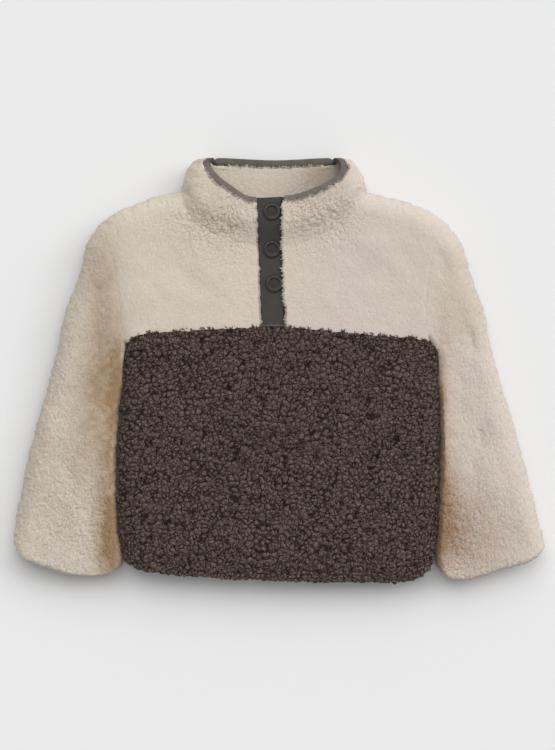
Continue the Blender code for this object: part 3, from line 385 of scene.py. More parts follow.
# ---------------------------------------------------------------- the form
class Fold:
    """A folded edge. It knows, for any plan point, how far off it is and which way is inward."""

    def __init__(self, points, table, inward, start_normal=None, tail_way=None):
        head = points[:1] + (points[0] - points[2]) * 12.0
        tail = points[-1:] + ((points[-1] - points[-3]) * 12.0 if tail_way is None else tail_way)
        self.points = np.vstack(([head] if start_normal is None else []) + [points, tail])
        self.step = np.diff(self.points, axis=0)
        self.square = (self.step ** 2).sum(axis=1)
        self.along = np.concatenate([[0], np.cumsum(np.sqrt(self.square))])
        if start_normal is None:
            self.along -= self.along[1]
        flat = np.stack([-self.step[:, 1], self.step[:, 0]], axis=1) / np.sqrt(self.square)[:, None]
        flat *= inward
        normal = np.vstack([flat[:1], (flat[:-1] + flat[1:]) / 2, flat[-1:]])
        if start_normal is not None:
            normal[0] = start_normal
        self.normal = normal / np.linalg.norm(normal, axis=1)[:, None]
        self.table = table

    def near(self, xy, face):
        """Distance, inward direction, height of the fold and its reach for each plan point."""
        parts = [self.near_few(xy[k:k + 6000], face) for k in range(0, len(xy), 6000)]
        return [np.concatenate([part[k] for part in parts]) for k in range(4)]

    def near_few(self, xy, face):
        to = xy[:, None] - self.points[None, :-1]
        t = np.clip((to * self.step).sum(axis=2) / self.square, 0.0, 1.0)
        away = to - t[..., None] * self.step
        k = (away ** 2).sum(axis=2).argmin(axis=1)
        row = np.arange(len(xy))
        t = t[row, k][:, None]
        away = away[row, k]
        distance = np.linalg.norm(away, axis=1)
        toward = away + 0.2 * ((1 - t) * self.normal[k] + t * self.normal[k + 1])
        toward /= np.linalg.norm(toward, axis=1)[:, None]
        at = self.along[k] + t[:, 0] * (self.along[k + 1] - self.along[k])
        height, reach = (np.interp(at, self.table[:, 0], self.table[:, c])
                         for c in (1, 2 if face == "front" else 3))
        return distance, toward, height, reach


def outer_fold(side):
    """The garment's outer edge, from the cuff up the sleeve, over the shoulder and up the collar."""
    turn = 1.0 if side == "left" else -1.0
    collar = LINES[side]["collar"].points
    parts = [LINES[side]["outer"].points[::-1], LINES[side]["shoulder"].points[::-1][1:],
             collar[1:][collar[1:, 1] < TIP_BELOW]]
    return Fold(np.vstack(parts), OUTER_FOLD, -turn, tail_way=np.array([turn * 16.0, 26.0]))


def folds_of(piece, sides=("left", "right")):
    """The folded edges that shape a piece: of the block, the yoke or a sleeve."""
    found = []
    for side in sides:
        turn = 1.0 if side == "left" else -1.0
        way_in = {"block": (turn, 0.0), "yoke": (turn, 1.0), "sleeve": (-turn, 1.0)}[piece]
        found.append(outer_fold(side))
        if piece == "sleeve":
            found.append(Fold(LINES[side]["tucked"].points, SLEEVE_FOLD, -turn, way_in))
        else:
            found.append(Fold(LINES[side]["side"].points, BODY_FOLD, turn, way_in))
    return found


def beyond_side(xy):
    """How far each point lies outside the side of the body, and how far below the arm."""
    left = xy[:, 0] < 0
    y = xy[:, 1]
    beyond = np.where(left, side_x("left", y) - xy[:, 0], xy[:, 0] - side_x("right", y))
    below = np.where(left, UNDERARM["left"][1], UNDERARM["right"][1]) - y
    return beyond, below


def top_level(xy):
    body, arm = (np.interp(xy[:, 1], LEVELS[:, 0], LEVELS[:, c]) for c in (1, 2))
    share = smooth_step((np.abs(xy[:, 0]) - BODY_HALF) / BODY_TO_SLEEVE)
    return body + (arm - body) * share


def sleeve_level(xy):
    """The sleeve's top, pressed flat where the body lies on it."""
    level = top_level(xy)
    beyond, below = beyond_side(xy)
    inside = TUCKED_IN + TUCKED_NEAR * (1.0 - smooth_step((below - TUCKED_START) / TUCKED_EASE))
    flat = 1.0 - smooth_step((beyond + inside) / TUCKED_SLOPE)
    return level - (level - TUCKED) * flat * smooth_step((below - TUCKED_START) / TUCKED_RUN)


def under_level(xy):
    """The body's underside: flat, and lifted where it lies over the sleeves."""
    beyond, below = beyond_side(xy)
    return LIFT * smooth_step((LIFT_IN + beyond) / LIFT_SLOPE) * smooth_step(below / LIFT_RUN)


def flat_level(xy):
    return np.zeros(len(xy))


# How one side of a piece lies: front or back, its level height away from folds, and its folded edges
Lay = namedtuple("Lay", "face level folds")
BLOCK_LAYS = {"front": Lay("front", top_level, folds_of("block")),
              "back": Lay("back", under_level, folds_of("block"))}
YOKE_FOLDS = folds_of("yoke")
YOKE_FRONT = Lay("front", top_level, YOKE_FOLDS)
YOKE_BACK = Lay("back", under_level, YOKE_FOLDS)
COLLAR_BACK = Lay("back", flat_level, YOKE_FOLDS)


def surface(plan, lay, rise=0.0):
    """Outer points of a plan grid, and at each the direction into the cloth."""
    shape = plan.shape[:-1]
    xy = plan.reshape(-1, 2)
    plateau = lay.level(xy) + np.broadcast_to(rise, shape).reshape(-1)
    z = plateau.copy()
    push = np.zeros_like(xy)
    upright = np.ones(len(xy))
    for fold in lay.folds:
        distance, toward, height, reach = fold.near(xy, lay.face)
        turn = np.clip(1.0 - distance / reach, 0.0, 1.0)
        z += (height - plateau) * (1.0 - np.sqrt(1.0 - turn ** 2))
        push += turn[:, None] * toward
        upright *= np.sqrt(1.0 - turn ** 2)
    down = -1.0 if lay.face == "front" else 1.0
    inward = np.column_stack([push, down * upright])
    outer = np.column_stack([xy, z])
    return outer.reshape(shape + (3,)), inward.reshape(shape + (3,))


# ---------------------------------------------------------------- noise
def scatter(x, y, z, seed):
    """Three even random numbers, 0 to 1, for each whole-numbered cell; the same ones every time."""
    h = (x * 73856093) ^ (y * 19349663) ^ (z * 83492791) ^ (seed * 2654435761)
    for shift, factor in ((15, 2246822519), (13, 3266489917)):
        h = h & 0xFFFFFFFF
        h = (h ^ (h >> shift)) * factor
    h = h & 0xFFFFFFFF
    h ^= h >> 16
    return [((h >> k) & 1023) / 1023.0 for k in (0, 10, 20)]


def drift(p, size, seed):
    """Smooth noise from -1 to 1 that changes over about this size."""
    q = p / size
    base = np.floor(q).astype(np.int64)
    f = q - base
    f = f * f * (3 - 2 * f)
    total = np.zeros(len(p))
    for corner in product((0, 1), repeat=3):
        share = np.prod(np.where(corner, f, 1 - f), axis=1)
        total += share * (2 * scatter(*(base + corner).T, seed)[0] - 1)
    return total


def unevenness(points, *waves):
    """Smooth noises of several sizes together, each given as its strength, size and seed."""
    p = points.reshape(-1, 3)
    total = sum(much * drift(p, size, seed) for much, size, seed in waves)
    return total.reshape(points.shape[:-1])


def packed_cells(p, seed):
    """Distances to the nearest and the second nearest of points scattered one to a unit cell."""
    base = np.floor(p).astype(np.int64)
    first = np.full(len(p), 9.0)
    second = first.copy()
    for step in product((-1, 0, 1), repeat=3):
        cell = base + step
        spot = scatter(*cell.T, seed)
        d = sum((p[:, k] - cell[:, k] - 0.08 - 0.84 * spot[k]) ** 2 for k in range(3))
        second = np.minimum(second, np.maximum(first, d))
        first = np.minimum(first, d)
    return np.sqrt(first), np.sqrt(second)


def swayed(p, width, length, lean, seed):
    """Points bent to and fro and squeezed along the lean, in units of one curl."""
    bend = np.stack([drift(p, 7.0, seed + k) for k in range(3)], axis=1)
    sway = np.stack([drift(p, 31.0, seed + 7 + k) for k in range(3)], axis=1)
    q = p + 2.2 * bend + 7.0 * sway
    lean = np.array(lean) / np.linalg.norm(lean)
    return (q + (width / length - 1.0) * (q @ lean)[:, None] * lean) / width


def wisps(p, width, length, lean, split, seed):
    """Pile as soft wisps: 0 in the thin gaps where two of them part and 1 on their crowns."""
    q = swayed(p, width, length, lean, seed)
    large = np.abs(drift(q, 1.0, seed + 31)) / split
    small = np.abs(drift(q, 0.55, seed + 32)) / split
    return 0.55 * np.clip(large, 0.0, 1.0) ** 0.7 + 0.45 * np.clip(small, 0.0, 1.0) ** 0.7


def curls(p, width, length, lean, split, seed):
    """Pile as packed, bent curls: 0 in the crevices between them and 1 on their crowns."""
    first, second = packed_cells(swayed(p, width, length, lean, seed), seed)
    crevice = smooth_step((second - first) / split)
    crown = 1.0 - np.clip(first / 0.8, 0.0, 1.0) ** 2
    return crevice * (0.55 + 0.45 * crown)


def calm(xy):
    """0 on the placket and the collar, where the cloth is held level, and 1 away from them."""
    middle, half, foot = CALM_STRIP
    across = np.maximum(np.abs(xy[:, 0] - middle) - half, 0.0)
    beside = np.hypot(across, np.maximum(foot - xy[:, 1], 0.0))
    x, y, reach = CALM_NECK
    from_neck = np.hypot(xy[:, 0] - x, xy[:, 1] - y) - reach
    return smooth_step(beside / CALM_RUN) * smooth_step(from_neck / CALM_RUN)


def creases(xy, face):
    """How deep the soft troughs are at each plan point; ridges count as below 0."""
    total = np.zeros(len(xy))
    for side, ax, ay, bx, by, width, depth in CREASES:
        if side != face:
            continue
        run = np.array([bx - ax, by - ay])
        t = ((xy - (ax, ay)) @ run) / (run @ run)
        wander = 0.35 * width * np.sin(5.1 * t + ax)
        across = ((xy - (ax, ay)) @ np.array([-run[1], run[0]])) / np.linalg.norm(run) - wander
        fade = smooth_step(t / 0.35) * smooth_step((1.0 - t) / 0.45)
        total += depth * fade * np.exp(-(across / width) ** 2)
    return total


def wobble(points):
    """How far the pile's own unevenness shifts a point in plan."""
    flat = points * (1.0, 1.0, 0.3)
    shifts = [unevenness(flat, (0.75, 4.6, 40 + k), (0.55, 2.3, 50 + k)) for k in (0, 1)]
    return np.stack(shifts, axis=1)


# ---------------------------------------------------------------- meshes
DENSE = 0.5 - 0.5 * np.cos(np.pi * np.linspace(0.0, 1.0, 401))


def even_lines(plan, lay, step):
    """Fractions of a plan grid's first direction that lie an even step apart on the form.

    plan is the grid at the fractions in DENSE, with a few sample lines across."""
    run = np.linalg.norm(np.diff(surface(plan, lay)[0], axis=0), axis=2).mean(axis=1)
    along = np.concatenate([[0], np.cumsum(run)])
    count = max(2, int(round(along[-1] / step)))
    return np.interp(np.linspace(0, along[-1], count + 1), along, DENSE)


def few(count, every):
    """Indices of some of a grid's lines, both ends among them."""
    return np.unique(np.round(np.linspace(0, count - 1, max(2, int(count / every) + 1))).astype(int))


def pillow(distance, dip, reach):
    """Depth of a rounded edge: dip at the edge itself, level from reach on."""
    turn = np.clip(1.0 - distance / reach, 0.0, 1.0)
    return dip * (1.0 - np.sqrt(1.0 - turn ** 2 * 0.998))


def reach_in(grid, axis, end):
    """Plan distance of every grid point from one edge of the grid."""
    run = np.linalg.norm(np.diff(grid[..., :2], axis=axis), axis=2)
    total = np.insert(np.cumsum(run, axis=axis), 0, 0.0, axis=axis)
    if end:
        last = total[-1:, :] if axis == 0 else total[:, -1:]
        return last - total
    return total


def spread(form, plan, edge, where=1.0):
    """Pushes the cloth out past one edge of the grid, unevenly where its locks are ragged."""
    near = smooth_step(1.0 - reach_in(plan, edge.axis, edge.end) / 6.0) * where
    line, inner = (np.take(form, k, edge.axis) for k in ((-1, -4) if edge.end else (0, 3)))
    way = (line - inner)[:, :2]
    way /= np.maximum(np.linalg.norm(way, axis=1), 1e-6)[:, None]
    much = edge.over + edge.ragged * unevenness(line, (1.0, 3.6, 61), (0.6, 1.9, 62))
    form[..., :2] += near[..., None] * np.expand_dims(much[:, None] * way, edge.axis)


def finish_edges(base, plan, inward, depth, edges):
    """The outer face with its edges drawn in and pushed out, and where its pile is held down."""
    deep = np.broadcast_to(depth, base.shape[:2]).copy()
    still = np.zeros(base.shape[:2])
    for edge in edges:
        away = reach_in(plan, edge.axis, edge.end)
        deep += pillow(away, edge.dip, edge.reach)
        if not edge.ragged:
            still = np.maximum(still, 0.45 * smooth_step(1.0 - away / 1.8))
    form = base + deep[..., None] * inward
    for edge in edges:
        spread(form, plan, edge)
    return form, still


def normals(grid, around=False):
    """Unit normals of a grid of points, by its neighbours."""
    if around:
        du = np.roll(grid, -1, axis=0) - np.roll(grid, 1, axis=0)
    else:
        du = np.gradient(grid, axis=0)
    n = np.cross(du, np.gradient(grid, axis=1))
    return n / np.maximum(np.linalg.norm(n, axis=2), 1e-9)[..., None]


def facing(normal, way):
    """The normals, all turned round if they point against the way."""
    return normal if (normal * way).sum() > 0 else -normal


def signed_volume(points, faces):
    """Six times the volume inside closed faces; below 0 when they are turned inward."""
    total = 0.0
    for size in (3, 4):
        some = np.array([face for face in faces if len(face) == size], int).reshape(-1, size)
        for k in range(1, size - 1):
            a, b, c = points[some[:, [0, k, k + 1]]].transpose(1, 0, 2)
            total += np.einsum("ij,ij->i", a, np.cross(b, c)).sum()
    return total


class Shell:
    """The points, faces and vertex values of one closed piece of cloth."""

    def __init__(self):
        self.points, self.faces = [], []
        self.values = {"curl": [], "plush": [], "tint": [], "blush": []}
        self.singles = []
        self.count = 0

    def add(self, points, values):
        """Adds rows of points with their values; their indices come back."""
        index = np.arange(points.shape[0] * points.shape[1]).reshape(points.shape[:2]) + self.count
        self.count += index.size
        self.points.append(points.reshape(-1, 3))
        for name, kept in self.values.items():
            kept.append(np.broadcast_to(values.get(name, 0.0), points.shape[:2]).reshape(-1))
        return index

    def grid(self, points, turned=False, around=False, **values):
        """Adds a grid with its faces; its indices come back."""
        index = self.add(points, values)
        wrap = np.vstack([index, index[:1]]) if around else index
        quads = np.stack([wrap[:-1, :-1], wrap[1:, :-1], wrap[1:, 1:], wrap[:-1, 1:]], axis=-1)
        quads = quads.reshape(-1, 4)
        self.faces += (quads[:, ::-1] if turned else quads).tolist()
        return index

    def zip(self, fine, coarse, at_fine, at_coarse, turned=False):
        """Joins two edges that run side by side, point by point as their positions say."""
        middle = (at_coarse[:-1] + at_coarse[1:]) / 2
        met = np.searchsorted(middle, (at_fine[:-1] + at_fine[1:]) / 2)
        faces = np.stack([fine[:-1], fine[1:], coarse[met]], axis=1)
        turn = np.searchsorted(met, np.arange(len(coarse) - 1), side="right")
        more = np.stack([coarse[1:], coarse[:-1], fine[turn]], axis=1)
        faces = np.concatenate([faces, more])
        self.faces += (faces[:, ::-1] if turned else faces).tolist()

    def sew(self, outer, inner, lines, cross, at=None):
        """Joins the four edges of a fine grid to those of the coarser one behind it.

        lines and cross are those of the fine grid's lines that the coarse one has too, and at is where
        the fine lines lie."""
        at_u = np.arange(outer.shape[0], dtype=float) if at is None else at
        at_v = np.arange(outer.shape[1], dtype=float)
        for end, turned in ((0, True), (-1, False)):
            self.zip(outer[end], inner[end], at_v, at_v[cross], turned)
        for end, turned in ((0, False), (-1, True)):
            self.zip(outer[:, end], inner[:, end], at_u, at_u[lines], turned)

    def locks(self, line, way, up, length, seed, even=False):
        """Adds single locks that stand out along a line of points: tapered, bent, blunt at the tip.

        Each has three rings of three points and one point at its tip."""
        if len(line) < 4 or QUICK > 1.0:
            return
        run = run_along(line)
        order = np.arange(max(2, int(run[-1] / LOCK_EVERY)))
        a, b, c = scatter(order, 0 * order, 0 * order, seed)
        d, e, f = scatter(order, 0 * order + 1, 0 * order, seed)
        at = (order + 0.5 + 0.9 * (a - 0.5)) * run[-1] / len(order)

        def read(values):
            return np.stack([np.interp(at, run, values[:, k]) for k in range(3)], axis=1)

        def unit(v):
            return v / np.maximum(np.linalg.norm(v, axis=1), 1e-6)[:, None]

        way, up = unit(read(way)), unit(read(up))
        across = unit(np.cross(up, way))
        up = np.cross(way, across)
        way = unit(way + 0.9 * (b - 0.5)[:, None] * across)
        long = (length * (0.45 + 0.9 * c))[:, None]
        stout = (0.34 * length * (0.6 + 0.5 * d))[:, None]
        root = read(line) - 0.5 * way + 0.35 * up
        rings = []
        for t, taper in ((0.0, 1.0), (0.5, 0.9), (0.85, 0.5)):
            centre = root + t * long * way + (t * t * (e - 0.5))[:, None] * long * across
            centre += (0.3 * math.sin(2.4 * t) * (f - 0.2))[:, None] * long * up
            for k in range(3):
                angle = 2 * math.pi * k / 3 + 0.5
                way_out = math.cos(angle) * across + 0.6 * math.sin(angle) * up
                rings.append(centre + taper * stout * way_out)
        rings.append(root + long * way + (0.9 * (e - 0.5))[:, None] * long * across)
        points = np.stack(rings, axis=1)
        points[..., 2] = np.maximum(points[..., 2], LOWEST)
        shown = shades(points, even)
        # Painted shade at the locks' roots, through the curl value.
        shown["curl"] = [0.55] * 3 + [0.85] * 3 + [1.0] * 4
        index = self.add(points, shown)
        faces = [(0, 2, 1)] + [(6 + k, 6 + (k + 1) % 3, 9) for k in range(3)]
        for ring in (0, 3):
            for k in range(3):
                j = (k + 1) % 3
                faces += [(ring + k, ring + j, ring + 3 + j), (ring + k, ring + 3 + j, ring + 3 + k)]
        self.singles += index[:, faces].reshape(-1, 3).tolist()

    def make(self, name, materials):
        """The mesh object, in metres, with its faces outward."""
        points = (np.concatenate(self.points) - (CENTRE[0], CENTRE[1], 0.0)) * MM
        if signed_volume(points, self.faces) < 0:
            self.faces = [face[::-1] for face in self.faces]
        mesh = bpy.data.meshes.new(name)
        mesh.from_pydata(points.tolist(), [], self.faces + self.singles)
        for key, kept in self.values.items():
            layer = mesh.attributes.new(key, "FLOAT", "POINT")
            layer.data.foreach_set("value", np.concatenate(kept).astype(np.float32))
        mesh.validate()
        mesh.update()
        mesh.shade_smooth()
        for material in materials:
            mesh.materials.append(material)
        item = bpy.data.objects.new(name, mesh)
        bpy.context.scene.collection.objects.link(item)
        return item


class Pile(namedtuple("Pile", "width length tall split lean nap even seed")):
    """One kind of pile: how large its curls are, how tall, how split, and which way they lean."""

    def grow(self, grid, normal, face, still=0.0):
        """Raises the pile on a grid of form points: the new points and the curls' height."""
        p = grid.reshape(-1, 3)
        n = normal.reshape(-1, 3)
        full = 1.0 if self.even else plush(p)
        tall = self.tall * (full * (1.0 - np.broadcast_to(still, grid.shape[:2]).reshape(-1)))[:, None]
        if self.even:
            height = curls(p, self.width, self.length, self.lean, self.split, self.seed)
            small = curls(p, 0.55 * self.width, 0.7 * self.length, self.lean, self.split,
                          self.seed + 90)
            height = height * (0.72 + 0.28 * small)
        else:
            height = wisps(p, self.width, self.length, self.lean, self.split, self.seed)
        form = unevenness(p, (1.5, 66.0, 3), (0.6, 23.0, 4), (0.35, 11.0, 5))
        form = (form - creases(p[:, :2], face)) * calm(p[:, :2])
        q = p + n * (tall * (height[:, None] - 0.72) + form[:, None])
        q = q + np.array(self.nap) * tall * (height[:, None] - 0.5) * 0.4
        q[:, :2] += wobble(p)
        q[:, 2] = np.maximum(q[:, 2], LOWEST)
        height = 1.0 - (1.0 - height) * full
        return q.reshape(grid.shape), height.reshape(grid.shape[:2])


def patches(points, table):
    """Soft round patches: centre x, y, reach along x and y, strength."""
    x, y = points[..., 0], points[..., 1]
    total = np.zeros(x.shape)
    for cx, cy, rx, ry, much in table:
        total += much * np.exp(-((x - cx) / rx) ** 2 - ((y - cy) / ry) ** 2)
    return total


def plush(points):
    """How strongly the cream pile stands up in curls; elsewhere it is brushed flat."""
    return np.clip(0.22 + patches(points, CURLED), 0.0, 1.0)


def blush_of(points):
    """How pink the cream is: the right side and the sleeves more than the left yoke."""
    x = points[..., 0]
    side = smooth_step((x + 20.0) / 60.0) + 0.4 * smooth_step((-x - 175.0) / 30.0)
    return np.clip(0.8 * side + unevenness(points, (0.25, 34.0, 66)), 0.0, 1.0)


def painted_shade_of(points):
    """Painted shade in the cream: a warm darkening by uneven patches where the sleeves lie in the
    body's shadow beside and under its sides, and inside the collar.
    """
    wander = unevenness(points, (0.18, 9.0, 67), (0.22, 3.6, 68))
    return np.clip(patches(points, PAINTED_SHADE_PATCHES) * (1.0 + wander), 0.0, 1.0)


def shades(points, even=False):
    """The vertex values of a face of pile; the even pile has none of the cream's patches of curl,
    painted shade and pink.
    """
    if even:
        return {"plush": 1.0}
    return {"plush": plush(points), "tint": painted_shade_of(points), "blush": blush_of(points)}


# Where the cream pile is curled, and where painted shade darkens it: centre x, y, reach along x and y,
# strength
CURLED = [
    (-215.0, -40.0, 40.0, 150.0, 0.38), (-190.0, -150.0, 60.0, 60.0, 0.45),
    (-176.0, 70.0, 16.0, 50.0, 0.10), (190.0, -40.0, 60.0, 120.0, 0.25),
    (190.0, -165.0, 50.0, 60.0, 0.5), (160.0, -150.0, 22.0, 46.0, 0.42),
    (-70.0, 142.0, 32.0, 28.0, 0.7), (48.0, 148.0, 26.0, 26.0, 0.75),
    (20.0, 148.0, 16.0, 26.0, 0.6), (-40.0, 140.0, 20.0, 30.0, 0.4),
]
PAINTED_SHADE_PATCHES = [
    (-173.0, 84.0, 15.0, 44.0, 0.42), (-171.0, -10.0, 23.0, 54.0, 0.72),
    (-155.0, -12.0, 9.0, 52.0, 0.55), (-163.0, 90.0, 12.0, 60.0, 0.16),
    (-180.0, -80.0, 20.0, 46.0, 0.32), (-162.0, -110.0, 11.0, 60.0, 0.55),
    (-162.0, -165.0, 15.0, 44.0, 0.95), (-212.0, 0.0, 34.0, 150.0, 0.04),
    (-230.0, -110.0, 30.0, 40.0, 0.10), (-224.0, -60.0, 22.0, 60.0, 0.06),
    (154.5, -50.0, 4.6, 66.0, 0.95), (153.0, -150.0, 6.0, 60.0, 0.45),
    (167.0, -148.0, 26.0, 46.0, 0.36), (158.0, -138.0, 12.0, 46.0, 0.54),
    (162.0, -45.0, 10.0, 60.0, 0.20), (192.0, -160.0, 34.0, 36.0, 0.26),
    (36.0, 188.0, 26.0, 20.0, 0.40), (174.0, 70.0, 28.0, 50.0, 0.18),
]


def hem_row(away):
    """The row that lies outermost on a turned edge's fold."""
    return int(np.argmin(away)) + 3


def turned_rows(length, fine, inside):
    """Rows from the inner end of a turned edge, round the fold and up to length.

    The rows lie fine apart on the outer face and inside apart on the turned part. What comes back is
    each row's distance from the edge and its depth under the outer face."""
    r = TURNED / 2
    quarter = math.pi * r / 2
    end = quarter + length - r
    back = np.arange(-(quarter + TURN_UP - r), -quarter, inside)
    out = np.linspace(-quarter, end, int(round((end + quarter) / fine)) + 1)
    s = np.concatenate([back, out])
    angle = np.clip(s / r, -math.pi / 2, math.pi / 2)
    away = r - r * np.cos(angle) + np.maximum(np.abs(s) - quarter, 0.0)
    depth = r - r * np.sin(angle)
    return away, depth


# ---------------------------------------------------------------- materials
MATERIALS = {}
CREAM_SHADE_PAINT = (0.52, 0.38, 0.26)        # painted shade: the cream's colour is multiplied by this where it lies in shadow
CREAM_BLUSH = (0.985, 0.955, 1.03)     # and by this where it is pink
EDGE_SHADE = (0.30, 0.26, 0.24)        # painted shade: and the woven cloths' by this where an edge turns in or round a snap, as their curl value says
# Painted shade in the brown pile's cracks: how far apart, how wide as a share of that, and how dark
BROWN_CRACK_SHADE = [(0.0052, 0.10, 0.9), (0.0031, 0.09, 0.35)]
WAVE_LENGTH = 0.314                    # length of one band of a wave texture at a scale of 1


class Finish:
    """A Principled material under construction."""

    def __init__(self, name, **values):
        self.material = bpy.data.materials.new(name)
        self.material.use_nodes = True
        self.tree = self.material.node_tree
        self.shader = self.tree.nodes["Principled BSDF"]
        for key, value in values.items():
            self.shader.inputs[key.replace("_", " ")].default_value = value
        self.place = self.node("ShaderNodeTexCoord").outputs["Object"]

    def node(self, kind, inputs=(), **settings):
        made = self.tree.nodes.new(kind)
        for key, value in settings.items():
            setattr(made, key, value)
        for key, value in dict(inputs).items():
            if hasattr(value, "is_output"):
                self.tree.links.new(value, made.inputs[key])
            else:
                made.inputs[key].default_value = value
        return made

    def noise(self, size, detail=2.0, place=None):
        made = self.node("ShaderNodeTexNoise", {"Vector": place or self.place, "Scale": 1.0 / size,
                                                "Detail": detail})
        return made.outputs["Fac"]

    def cells(self, size, smooth=0.4, place=None):
        made = self.node("ShaderNodeTexVoronoi", {"Vector": place or self.place, "Scale": 1.0 / size,
                                                  "Smoothness": smooth}, feature="SMOOTH_F1")
        return made.outputs["Distance"]

    def seams(self, size, place):
        """Distance to the nearest line between packed cells, in cells."""
        made = self.node("ShaderNodeTexVoronoi", {"Vector": place, "Scale": 1.0 / size},
                         feature="DISTANCE_TO_EDGE")
        return made.outputs["Distance"]

    def warped(self, size, much):
        """The object's place, bent to and fro by much over about this size."""
        noise = self.node("ShaderNodeTexNoise", {"Vector": self.place, "Scale": 1.0 / size,
                                                 "Detail": 1.0})
        return self.node("ShaderNodeVectorMath", {0: noise.outputs["Color"], 1: (much, much, much),
                                                  2: self.place}, operation="MULTIPLY_ADD").outputs[0]

    def between(self, value, low, high, to_low=0.0, to_high=1.0):
        made = self.node("ShaderNodeMapRange", {"Value": value, "From Min": low, "From Max": high,
                                                "To Min": to_low, "To Max": to_high})
        return made.outputs["Result"]

    def mix(self, share, first, second, how="MIX"):
        made = self.node("ShaderNodeMix", {0: share}, data_type="RGBA", blend_type=how)
        for socket, value in ((6, first), (7, second)):
            if hasattr(value, "is_output"):
                self.tree.links.new(value, made.inputs[socket])
            else:
                made.inputs[socket].default_value = (*value, 1.0)
        return made.outputs[2]

    def mottle(self, shade, colour, size, detail, low, high, much=1.0):
        """The shade with a colour blended in, by soft patches of about this size."""
        return self.mix(self.between(self.noise(size, detail), low, high, 0.0, much), shade, colour)

    def sums(self, how, first, second):
        return self.node("ShaderNodeMath", {0: first, 1: second}, operation=how).outputs[0]

    def value(self, name):
        return self.node("ShaderNodeAttribute", attribute_name=name).outputs["Fac"]

    def bump(self, height, deep, strength=1.0, over=None):
        inputs = {"Height": height, "Distance": deep, "Strength": strength}
        if over is not None:
            inputs["Normal"] = over
        return self.node("ShaderNodeBump", inputs).outputs["Normal"]

    def done(self, colour, normal, roughness=None):
        self.tree.links.new(colour, self.shader.inputs["Base Color"])
        self.tree.links.new(normal, self.shader.inputs["Normal"])
        if roughness is not None:
            self.tree.links.new(roughness, self.shader.inputs["Roughness"])
        return self.material


def scaled(colour, amount):
    return tuple(min(1.0, c * amount) for c in colour)


def fleece(name, colour, crevice, shade_paint, blush, cracks, strand, grain, uneven, open_at):
    """Curled pile: split by crevices of painted shade, streaked by painted shade between its own bent
    strands, uneven in tone, and darkened by warm painted shade where the pile lies in shadow.

    cracks are the kinds of the crevices' painted shade: how far apart, how wide as a share of that,
    and how dark. open_at are the curls' heights where it is as dark as a crevice and where it has its
    full colour."""
    f = Finish(name, Roughness=0.95, Sheen_Weight=0.08, Sheen_Roughness=0.45, Specular_IOR_Level=0.1)
    full = f.value("plush")
    shade = f.mottle(scaled(colour, 1.0 - grain), scaled(colour, 1.0 + grain), 0.0011, 3.0, 0.3, 0.7)
    shade = f.mottle(shade, scaled(colour, 1.0 - uneven), 0.03, 3.0, 0.35, 0.65, 0.4)
    # Painted shade: the crevices between the curls, where the curl value is low, darken toward the
    # crevice colour.
    shade = f.mix(f.between(f.value("curl"), *open_at), crevice, shade)
    patchy = f.between(f.noise(0.014, 1.0), 0.36, 0.6, 0.7, 1.0)
    relief = f.value("curl")
    # Painted shade in thin cracks between the curls, dark in patches.
    for apart, wide, dark in cracks:
        lines = f.seams(apart, f.warped(2.2 * apart, 0.9 * apart))
        split = f.sums("MULTIPLY", patchy, f.between(lines, 0.4 * wide, wide, dark, 0.0))
        shade = f.mix(split, shade, crevice)
        relief = f.sums("ADD", relief, f.between(lines, 0.0, 2.0 * wide))
    strands = f.noise(0.0014, 2.0, f.warped(0.0045, 0.007))
    # Painted shade between the strands, stronger where the pile is more curled.
    hollow = f.sums("MULTIPLY", f.between(strands, 0.36, 0.52, strand, 0.0), f.sums("ADD", full, 0.05))
    shade = f.mix(hollow, shade, crevice)
    # Blush is the cream's own pink; the other value paints warm shade where the pile lies in shadow.
    for value, much in (("blush", blush), ("tint", shade_paint)):
        if much is not None:
            shade = f.mix(f.value(value), shade, f.mix(1.0, shade, much, "MULTIPLY"))
    hair = f.bump(f.sums("MULTIPLY", strands, full), 0.0012, 0.5)
    return f.done(shade, f.bump(relief, 0.0007 if blush else 0.0012, 0.7, hair))


def plain_knit(name, colour):
    """The backing side of the fleece: a fine jersey, brushed a little."""
    f = Finish(name, Roughness=0.9, Sheen_Weight=0.1)
    narrowed = f.node("ShaderNodeMapping", {"Vector": f.place, "Scale": (1.0, 0.55, 1.0)})
    loops = f.cells(0.0016, 0.2, narrowed.outputs["Vector"])
    shade = f.mix(f.between(loops, 0.2, 0.7), colour, scaled(colour, 0.7))
    shade = f.mottle(shade, scaled(colour, 0.86), 0.02, 2.0, 0.35, 0.65, 0.4)
    return f.done(shade, f.bump(f.sums("SUBTRACT", 1.0, loops), 0.0004, 0.6))


